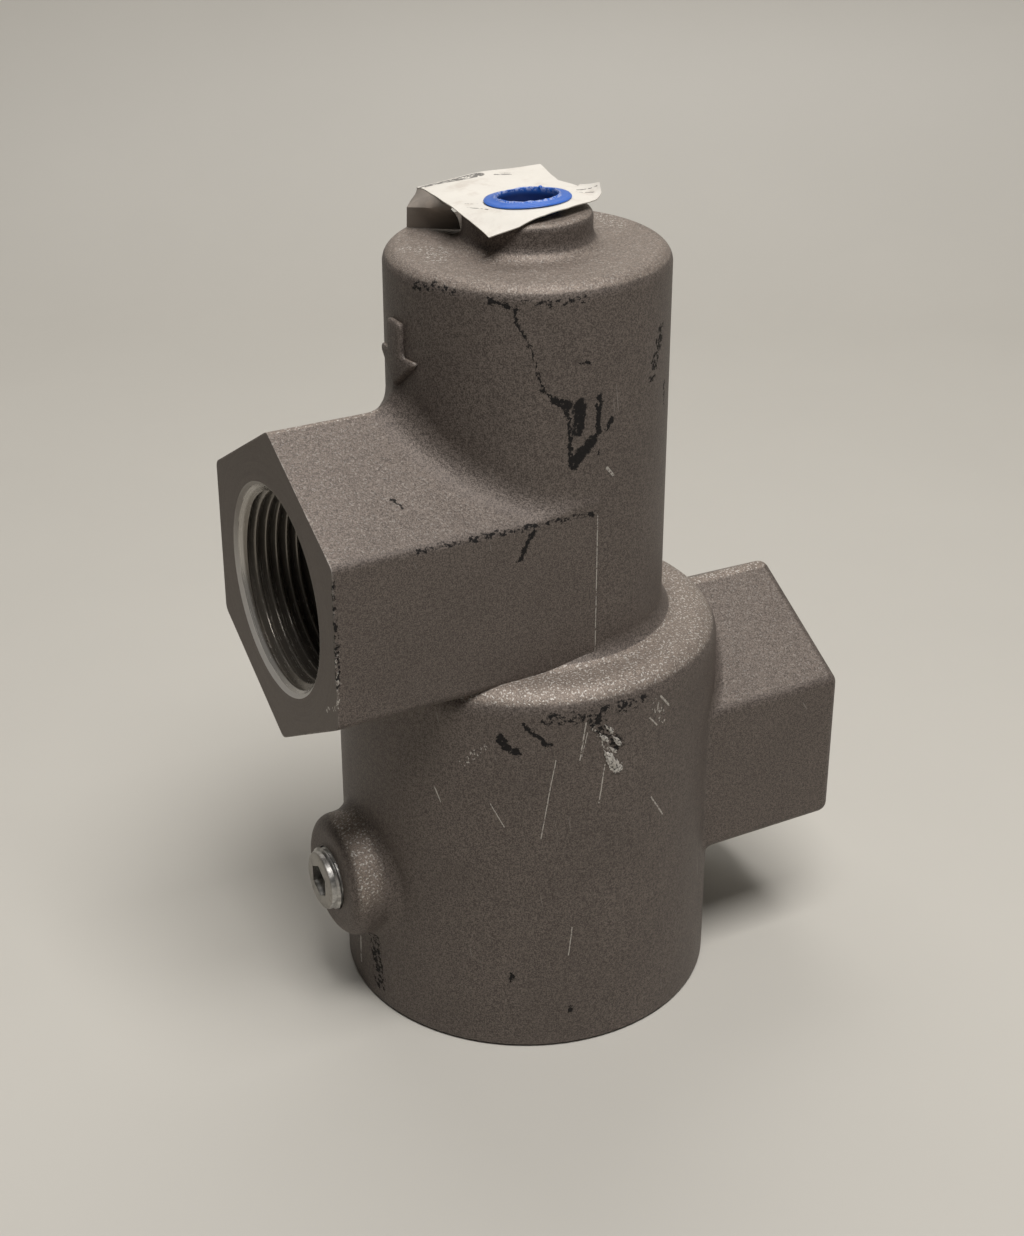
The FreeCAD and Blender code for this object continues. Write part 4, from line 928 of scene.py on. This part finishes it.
class VALVE_OT_cast_body(bpy.types.Operator):
    """Dress the casting and add its parting lines, flow arrow and gouge"""
    bl_idname = "valve.cast_body"
    bl_label = "Cast body"

    def execute(self, context):
        lower = cast_material("cast_lower", 0.0, SKIN_SPLIT)
        upper = cast_material("cast_upper", SKIN_SPLIT, 200.0)
        body = dressed_copy("valve_body", "cast_body", lower, smooth=28.0)
        body.data.materials.append(upper)
        for face in body.data.polygons:
            face.material_index = int(face.center.z > SKIN_SPLIT * MM)
        for place, *wall in (("front", LOWER, 2.0, 77.5, 0.0, lower),
                             ("back", LOWER, 2.0, 77.5, 180.0, lower),
                             ("upper", UPPER, 117.0, 157.0, 0.0, upper),
                             ("upper_back", UPPER, 117.0, 157.0, 180.0, upper)):
            parting_line("parting_line_" + place, *wall)
        flow_arrow(upper)
        torn = burr_material()
        for seed, flake in enumerate(GOUGE_FLAKES, 1):
            gouge_flake(f"gouge_flake_{seed}", torn, seed, *flake)
        return {"FINISHED"}


def pipe_thread(name, side, height, face):
    """A thread inside a main port: a cone at the mouth, then turns that fade out at the end."""
    given = sizes()
    bore, cone_mouth, bore_depth = 20.8 * MM, 21.5 * MM, 24.0 * MM
    pitch, rise, play = given.thread_pitch, given.thread_height, given.thread_play
    root, depth, start = bore - play, bore_depth - play, 0.75 * MM
    crest = root - rise
    flank = [(0.0, root), (0.05, root), (0.1, root - rise * 0.08), (0.34, crest + rise * 0.14),
             (0.4, crest + rise * 0.03), (0.45, crest), (0.55, crest),
             (0.6, crest + rise * 0.03), (0.66, crest + rise * 0.14),
             (0.9, root - rise * 0.08), (0.95, root), (1.0, root)]
    liner = trace(name, [(radius, 0.0, (share - 1.0) * pitch) for share, radius in flank])
    turn(liner, math.ceil(depth / pitch) + 2, pitch, given.thread_steps)
    with editing(liner):
        for level, kept in ((start, {"clear_inner": True}), (depth, {"clear_outer": True})):
            bpy.ops.mesh.select_all(action="SELECT")
            bpy.ops.mesh.bisect(plane_co=(0, 0, level), plane_no=(0, 0, 1), **kept)
    taper, fade, cone, blend = 1 / 32, 1.3 * pitch, 1.4 * MM, 0.5 * MM

    def cut(co):
        radius = math.hypot(co.x, co.y)
        wanted = radius - co.z * taper
        wanted += (cone_mouth - co.z - wanted) * ramp(co.z, cone + blend, cone)
        wanted = max(wanted, cone_mouth - co.z)
        wanted += (root - co.z * taper - wanted) * ramp(co.z, depth - fade, depth)
        wanted = min(wanted, root)
        return Vector((co.x * wanted / radius, co.y * wanted / radius, co.z))
    shape(liner, cut)

    # Close the liner by a plain outer wall
    with editing(liner):
        select_rim()
        extrude_edges(0, 0, 0)
        mesh = bmesh.from_edit_mesh(liner.data)
        for vertex in mesh.verts:
            if vertex.select:
                vertex.co.xy *= (root + play / 2) / vertex.co.xy.length
        bmesh.update_edit_mesh(liner.data)
        bpy.ops.mesh.bridge_edge_loops()
    close_up(liner)
    seat(liner, Matrix.Translation(Vector((side * face, 0, height)) * MM)
         @ Matrix.Rotation(math.radians(-90.0 * side), 4, "Y"))
    finish_piece(liner, "housing", thread_material(name, side, height, face),
                 smooth=40.0)


class VALVE_OT_pipe_threads(bpy.types.Operator):
    """Cut the pipe threads into the two main ports"""
    bl_idname = "valve.pipe_threads"
    bl_label = "Pipe threads"

    def execute(self, context):
        for port in PORTS:
            pipe_thread(*port[:-1])
        return {"FINISHED"}


def return_spring(material):
    """Compression spring with closed, ground ends."""
    low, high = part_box("return_spring")
    wire = 1.25 * MM
    turns, around, each_turn = sizes().spring_turns, 16, 48
    coil = added("return_spring_coil", bpy.ops.mesh.primitive_circle_add,
                 location=((high.x - low.x) / 2 - wire, 0, 0), rotation=(math.pi / 2, 0, 0),
                 vertices=around, radius=wire)
    seat(coil)
    screw = coil.modifiers.new("Coil", "SCREW")
    screw.angle = turns * 2 * math.pi
    screw.steps = screw.render_steps = round(turns * each_turn)
    apply_all(coil)

    closed, tall = 0.9, high.z - low.z - 2 * wire
    flat = 2.1 * wire * closed
    for vertex in coil.data.vertices:
        along = min(vertex.index // around / each_turn, turns)
        if along < closed:
            rise = flat * along / closed
        elif along > turns - closed:
            rise = tall - flat * (turns - along) / closed
        else:
            rise = flat + (tall - 2 * flat) * (along - closed) / (turns - 2 * closed)
        vertex.co.z += low.z + wire + rise
    with editing(coil):
        select_rim()
        bpy.ops.mesh.edge_face_add()
    finish_piece(close_up(coil), "housing", material, ["return_spring"],
                 smooth=60.0)
    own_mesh(coil)


class VALVE_OT_working_parts(bpy.types.Operator):
    """Dress the piston, stem, poppet, seat, cap and seals"""
    bl_idname = "valve.working_parts"
    bl_label = "Working parts"

    def execute(self, context):
        hues = finishes()
        turned = {
            "machined_alloy": (hues.alloy, 0.3, 0.4),
            "brass_trim": (hues.brass, 0.26, 0.3),
            "stem_steel": (hues.steel, 0.24, 0.2),
            "spring_steel": (hues.spring, 0.36, 0.9),
            "guide_plastic": (hues.plastic, 0.5, 0.5, 0.0),
        }
        looks = {slot: turned_material(slot, *look) for slot, look in turned.items()}
        looks["seal_rubber"] = rubber_material()
        parts = {
            "machined_alloy": ("bottom_cap", "pilot_piston", "poppet"),
            "brass_trim": ("seat_ring", "stem_bushing"),
            "stem_steel": ("valve_stem", "piston_washer", "piston_nut", "poppet_washer",
                           "poppet_nut", "seal_retainer"),
            "spring_steel": ("cap_retaining_ring",),
            "seal_rubber": ("seat_ring_seal", "cap_o_ring", "piston_o_ring", "piston_stem_seal",
                            "poppet_seal", "poppet_stem_seal"),
            "guide_plastic": ("piston_guide_ring",),
        }
        for slot, nodes in parts.items():
            for node in nodes:
                dressed_copy(node, node + "_finish", looks[slot])
        return_spring(looks["spring_steel"])
        return {"FINISHED"}


def zinc_plug():
    """Hex-socket pipe plug: a smooth core with the socket, then ragged thread turns round it."""
    low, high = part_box("supply_port_plug")
    radius = (high.z - low.z) / 2
    long = high.x - low.x
    pitch = sizes().plug_pitch
    chamfer, thread_depth, sixth = 0.7 * MM, 0.55 * MM, math.pi / 3
    across_flats, socket_depth, drill_rim, drill_point = 6.35, 4.5 * MM, 0.3 * MM, 0.5 * MM
    socket = across_flats / 2 / math.cos(sixth / 2) * MM
    core = radius - thread_depth
    plug = added("zinc_plug", bpy.ops.mesh.primitive_circle_add, vertices=72,
                 radius=core - chamfer, fill_type="NGON")
    with editing(plug):
        bpy.ops.mesh.inset(thickness=core - chamfer - socket)
        mesh = bmesh.from_edit_mesh(plug.data)
        for vertex in mesh.verts:
            if vertex.select:
                turned = math.atan2(vertex.co.y, vertex.co.x)
                reach = socket * math.cos(sixth / 2) / math.cos(turned % sixth - sixth / 2)
                vertex.co = polar(reach, turned, vertex.co.z)
        bmesh.update_edit_mesh(plug.data)
        extrude_faces(0, 0, socket_depth)
        bpy.ops.mesh.inset(thickness=drill_rim)
        bpy.ops.transform.translate(value=(0, 0, drill_point))
        select_rim()
        at_radius, at_depth = core - chamfer, 0.0
        for next_radius, next_depth in ((core - chamfer * 0.3, 0.25 * MM), (core, chamfer),
                                        (core, long - chamfer), (core - chamfer, long)):
            extrude_edges(0, 0, next_depth - at_depth)
            ratio = next_radius / at_radius
            bpy.ops.transform.resize(value=(ratio, ratio, 1.0), center_override=(0, 0, 0))
            at_radius, at_depth = next_radius, next_depth
        bpy.ops.mesh.edge_face_add()
    close_up(plug)
    into = Matrix.Translation((low.x, 0.0, (high.z + low.z) / 2)) \
        @ Matrix.Rotation(math.radians(90), 4, "Y")
    seat(plug, into)
    material = zinc_material()
    finish_piece(plug, "housing", material, ["supply_port_plug"], smooth=30.0)

    # Six ragged thread turns along the core
    base, crest, sunk = core - 0.1 * MM, radius - 0.03 * MM, core - 0.08 * MM
    ridge = trace("zinc_plug_thread", [(base, 0, -pitch * 0.42), (crest, 0, -pitch * 0.06),
                                       (crest, 0, pitch * 0.06), (base, 0, pitch * 0.42)],
                  closed=True)
    turn(ridge, turns=6, pitch=pitch, steps=48)

    def ragged(co):
        turned = math.hypot(co.x, co.y)
        nick = noise.noise(Vector((co.x * 900, co.y * 900, co.z * 1400)))
        wanted = min(sunk + (turned - sunk) * (0.92 + 0.25 * nick), radius)
        return Vector((co.x * wanted / turned, co.y * wanted / turned,
                       min(max(co.z + chamfer * 1.4, 0.3 * MM), long - 0.4 * MM)))
    shape(ridge, ragged)
    seat(ridge, into)
    finish_piece(ridge, "housing", material, smooth=40.0)


def cap_plug():
    """Thin moulded plug: a wide flange, a tapered shank and a hollow middle."""
    low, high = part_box("pilot_port_plug")
    profile = [(0.0, -7.1), (5.0, -7.1), (5.45, -6.4), (5.85, -1.0), (5.9, -0.1), (5.95, 0.3),
               (6.1, 0.46), (6.35, 0.34), (6.6, 0.08), (7.6, -0.02), (8.3, -0.12), (8.45, -0.3),
               (8.3, -0.5), (7.2, -0.5), (6.6, -0.6), (6.42, -1.2), (6.05, -6.4), (5.8, -8.3),
               (5.2, -8.45), (0.0, -8.45)]
    plug = trace("cap_plug", [(radius * MM, 0, height * MM) for radius, height in profile])
    turn(plug, turns=1, pitch=0.0, steps=96)

    def uneven(co):
        radius = math.hypot(co.x, co.y) / MM
        turned = math.atan2(co.y, co.x)
        lift = 0.0
        if radius > 6.3:
            lift = 0.07 * math.sin(turned * 3 + 0.6)
        elif radius > 5.86 and co.z > -0.2 * MM:
            around = polar(1.0, turned, radius)
            lift = 0.14 * noise.noise(around * 7) + 0.12 * noise.noise(around * 2)
        return Vector((co.x, co.y, co.z + lift * MM))
    shape(plug, uneven)
    top = Vector(((low.x + high.x) / 2, (low.y + high.y) / 2, high.z))
    tilt = Matrix.Rotation(math.radians(-4.5), 4, polar(1.0, 0.4))
    rim_above, nub = Vector((0, 0, 0.5)) * MM, Vector((4.95, 3.9, -0.35)) * MM
    seat(plug, Matrix.Translation(top - rim_above) @ tilt)
    gate = added("cap_plug_gate", bpy.ops.mesh.primitive_uv_sphere_add, location=top + nub,
                 segments=16, ring_count=8, radius=0.45 * MM)
    seat(gate)
    material = blue_material()
    finish_piece(plug, "cap_plug", material, ["pilot_port_plug"], smooth=50.0)
    finish_piece(gate, "cap_plug", material)


class VALVE_OT_plugs(bpy.types.Operator):
    """Make the zinc hex-socket plug and the blue cap plug"""
    bl_idname = "valve.plugs"
    bl_label = "Plugs"

    def execute(self, context):
        zinc_plug()
        cap_plug()
        return {"FINISHED"}


def tag_height(x, y):
    """Height of the tag's surface in millimetres: lifted off the boss, drooping and curling."""
    out = math.hypot(x, y)
    height = 169.25 + 0.03 * x
    flange = 169.72 + 0.0306 * x - 0.0722 * y
    height += (flange - height) * ramp(out, 13.5, 9.0)
    height -= 0.023 * max(0.0, -0.83 * x - 0.55 * y - 7.0) ** 2
    height -= 0.016 * max(0.0, 0.9 * y - 0.4 * x - 18.0) ** 2
    if y < 3.0:
        height += 0.12 * max(0.0, x - 11.0) ** 2
    wave = math.sin(x * 0.5 + y * 0.3) + 0.6 * math.sin(y * 0.9 - x * 0.2)
    return height + 0.07 * wave * ramp(out, 9.0, 14.0)


def finish_sheet(sheet, material, stands_for=()):
    """Give a sheet of the tag its thickness and finish it."""
    thick = sheet.modifiers.new("Paper", "SOLIDIFY")
    thick.thickness = 0.2 * MM
    thick.offset = 0
    finish_piece(close_up(apply_all(sheet)), "housing", material, stands_for,
                 smooth=50.0)


def curled_tag(material):
    """The tag: rings drawn from its hole to its cut edge."""
    # Outline in millimetres from the back left corner, round the front, to the back
    outline = [(-11.6, 24.4), (-12.6, 16.3), (-13.5, 6.8), (-13.7, -0.5), (-13.5, -5.3),
               (-13.5, -9.7), (-7.7, -10.9), (-2.4, -11.0), (2.9, -10.0), (9.1, -7.6),
               (13.6, -4.6), (14.9, -1.6), (13.4, 2.5), (12.8, 7.4), (12.2, 9.8), (15.0, 21.9),
               (2.2, 23.6)]
    rays, rings, hole = 144, 14, 7.0

    def reach(bearing):
        """How far the tag's edge is from the hole's centre at this bearing."""
        step = Vector((math.cos(bearing), math.sin(bearing)))
        best = 0.0
        for (x0, y0), (x1, y1) in zip(outline, outline[1:] + outline[:1]):
            run = Vector((x1 - x0, y1 - y0))
            cross = step.x * run.y - step.y * run.x
            if abs(cross) < 1e-9:
                continue
            far = (x0 * run.y - y0 * run.x) / cross
            share = (x0 * step.y - y0 * step.x) / cross
            if far > 0 and -1e-6 <= share <= 1 + 1e-6:
                best = max(best, far)
        return best

    bearings = [-math.pi + 2 * math.pi * k / rays for k in range(rays)]
    for corner in sorted(math.atan2(y, x) for x, y in outline):
        nearest = min(range(rays), key=lambda k: abs(bearings[k] - corner))
        bearings[nearest] = corner
    tag = added("curled_tag", bpy.ops.mesh.primitive_circle_add, vertices=rays, radius=hole * MM)
    with editing(tag):
        for _ in range(rings):
            extrude_edges(0, 0, MM)

    def lay(co):
        ring = round(co.z / MM) / rings
        index = round((math.atan2(co.y, co.x) + math.pi) / (2 * math.pi) * rays) % rays
        bearing = bearings[index]
        out = hole + (reach(bearing) - hole) * ring
        x, y = out * math.cos(bearing), out * math.sin(bearing)
        return Vector((x * MM, y * MM, tag_height(x, y) * MM))
    shape(tag, lay)
    finish_sheet(tag, material, ["paper_tag"])


def tag_flap(material):
    """The tag's left margin, folded under it and standing on the top face."""
    edge = [(-11.5, 24.1), (-12.1, 20.6), (-12.4, 17.0), (-12.7, 13.0), (-13.1, 5.8)]
    crown = [(x, y, tag_height(x, y) - 0.12) for x, y in edge]
    knee = [(-12.0, 23.8, 166.8), (-14.4, 21.2, 166.3), (-16.5, 18.6, 165.9),
            (-14.4, 15.0, 166.5), (-11.9, 8.8, 167.2)]
    foot = [(-12.2, 23.4, 165.0), (-14.3, 21.2, 163.0), (-16.2, 19.5, 161.7),
            (-12.0, 16.1, 161.7), (-7.9, 12.8, 161.8)]
    bend = 0.6
    flap = added("tag_flap", bpy.ops.mesh.primitive_grid_add, x_subdivisions=40,
                 y_subdivisions=10, size=1.0)

    def along(points, share):
        place = min(share, 0.9999) * (len(points) - 1)
        first = int(place)
        return Vector(points[first]).lerp(Vector(points[first + 1]), place - first)

    def stand(co):
        share, rise = co.x + 0.5, co.y + 0.5
        if rise < bend:
            point = along(foot, share).lerp(along(knee, share), rise / bend)
            dent = math.sin(math.pi * rise / bend) * max(0.0, share - 0.62) * 4.0
            point += Vector((0.62, 0.78, 0.0)) * dent
        else:
            point = along(knee, share).lerp(along(crown, share), (rise - bend) / (1 - bend))
        return point * MM
    shape(flap, stand)
    finish_sheet(flap, material)


class VALVE_OT_paper_tag(bpy.types.Operator):
    """Lay the curled paper tag under the cap plug"""
    bl_idname = "valve.paper_tag"
    bl_label = "Paper tag"

    def execute(self, context):
        curled_tag(tag_material("tag_paper", finishes().paper, TAG_SMUDGES))
        # The flap's darker paper is partly painted shade
        tag_flap(tag_material("tag_flap", finishes().paper_back_shaded, []))
        return {"FINISHED"}


def backdrop():
    """A floor that sweeps up behind the valve."""
    near, bend, curve, tall, steps, half_wide = 2.0, 0.42, 0.16, 1.4, 12, 3.0
    sweep = [(0, -near, 0), (0, bend, 0)]
    for k in range(1, steps + 1):
        turned = math.pi / 2 * k / steps
        sweep.append((0, bend + curve * math.sin(turned), curve * (1 - math.cos(turned))))
    sweep.append((0, bend + curve, tall))
    floor = trace("floor", sweep)
    with editing(floor):
        bpy.ops.transform.translate(value=(-half_wide, 0, 0))
        extrude_edges(2 * half_wide, 0, 0)
    seat(close_up(floor), Matrix.Rotation(bpy.context.scene.valve_stage.azimuth, 4, "Z"))
    material, w = new_material("floor")
    hue = finishes().floor
    w.surface(w.mix(w.noise(w.spot(), 0.01, 4.0, 0.6), shade(hue, 0.94), hue), 0.55)
    floor.data.materials.append(material)
    smooth_edges(floor, 40.0)


def area_lamp(name, place, aim, wide, deep, power):
    lamp = added(name, bpy.ops.object.light_add, place, type="AREA")
    lamp.data.shape = "RECTANGLE"
    lamp.data.size, lamp.data.size_y = wide, deep
    lamp.data.energy = power
    lamp.data.color = WARM
    lamp.rotation_euler = (Vector(aim) - Vector(place)).to_track_quat("-Z", "Y").to_euler()


def place_camera(scene, given):
    around, above = given.azimuth, given.elevation
    back = Vector((math.sin(around) * math.cos(above), -math.cos(around) * math.cos(above),
                   math.sin(above)))
    target = polar(1.0, around) * given.target_side + Vector((0, 0, given.target_height))
    camera = added("camera", bpy.ops.object.camera_add, target + back * given.distance)
    camera.rotation_euler = (-back).to_track_quat("-Z", "Y").to_euler()
    camera.data.lens = given.lens
    camera.data.shift_y = given.shift
    camera.data.clip_start = 0.01
    scene.camera = camera


class VALVE_OT_stage(bpy.types.Operator):
    """Set the floor, the lamps and the camera"""
    bl_idname = "valve.stage"
    bl_label = "Stage"

    def execute(self, context):
        given = context.scene.valve_stage
        backdrop()
        area_lamp("ceiling_light", (-0.02, -0.4, 1.1), (0, 0, 0.08), 0.6, 0.45, given.ceiling)
        area_lamp("back_light", (0.1, 0.42, 0.8), (0, 0, 0.1), 0.7, 0.3, given.back)
        world = bpy.data.worlds.new("room")
        context.scene.world = world
        world.use_nodes = True
        background = world.node_tree.nodes["Background"]
        background.inputs["Color"].default_value = (*WARM, 1.0)
        background.inputs["Strength"].default_value = given.surround
        place_camera(context.scene, given)
        context.scene.view_settings.view_transform = "Standard"
        return {"FINISHED"}


STEPS = (VALVE_OT_stage, VALVE_OT_cast_body, VALVE_OT_pipe_threads, VALVE_OT_working_parts,
         VALVE_OT_plugs, VALVE_OT_paper_tag)


class VALVE_PT_panel(bpy.types.Panel):
    """The valve's pieces, one button each"""
    bl_idname = "VALVE_PT_panel"
    bl_label = "Relay Valve"
    bl_space_type = "VIEW_3D"
    bl_region_type = "UI"
    bl_category = "Relay Valve"

    def draw(self, context):
        for step in STEPS:
            self.layout.operator(step.bl_idname)


SETTINGS = {"valve_finishes": ValveFinishes, "valve_sizes": ValveSizes,
            "valve_stage": ValveStage}
CLASSES = (*SETTINGS.values(), *STEPS, VALVE_PT_panel)


def register():
    for item in CLASSES:
        bpy.utils.register_class(item)
    for name, kind in SETTINGS.items():
        setattr(bpy.types.Scene, name, PointerProperty(type=kind))


def unregister():
    for name in SETTINGS:
        delattr(bpy.types.Scene, name)
    for item in reversed(CLASSES):
        bpy.utils.unregister_class(item)


def main():
    register()
    bpy.ops.valve.stage()
    bpy.ops.valve.cast_body()
    bpy.ops.valve.pipe_threads()
    bpy.ops.valve.working_parts()
    bpy.ops.valve.plugs()
    bpy.ops.valve.paper_tag()
    bpy.context.view_layer.update()


if __name__ == "__main__":
    main()
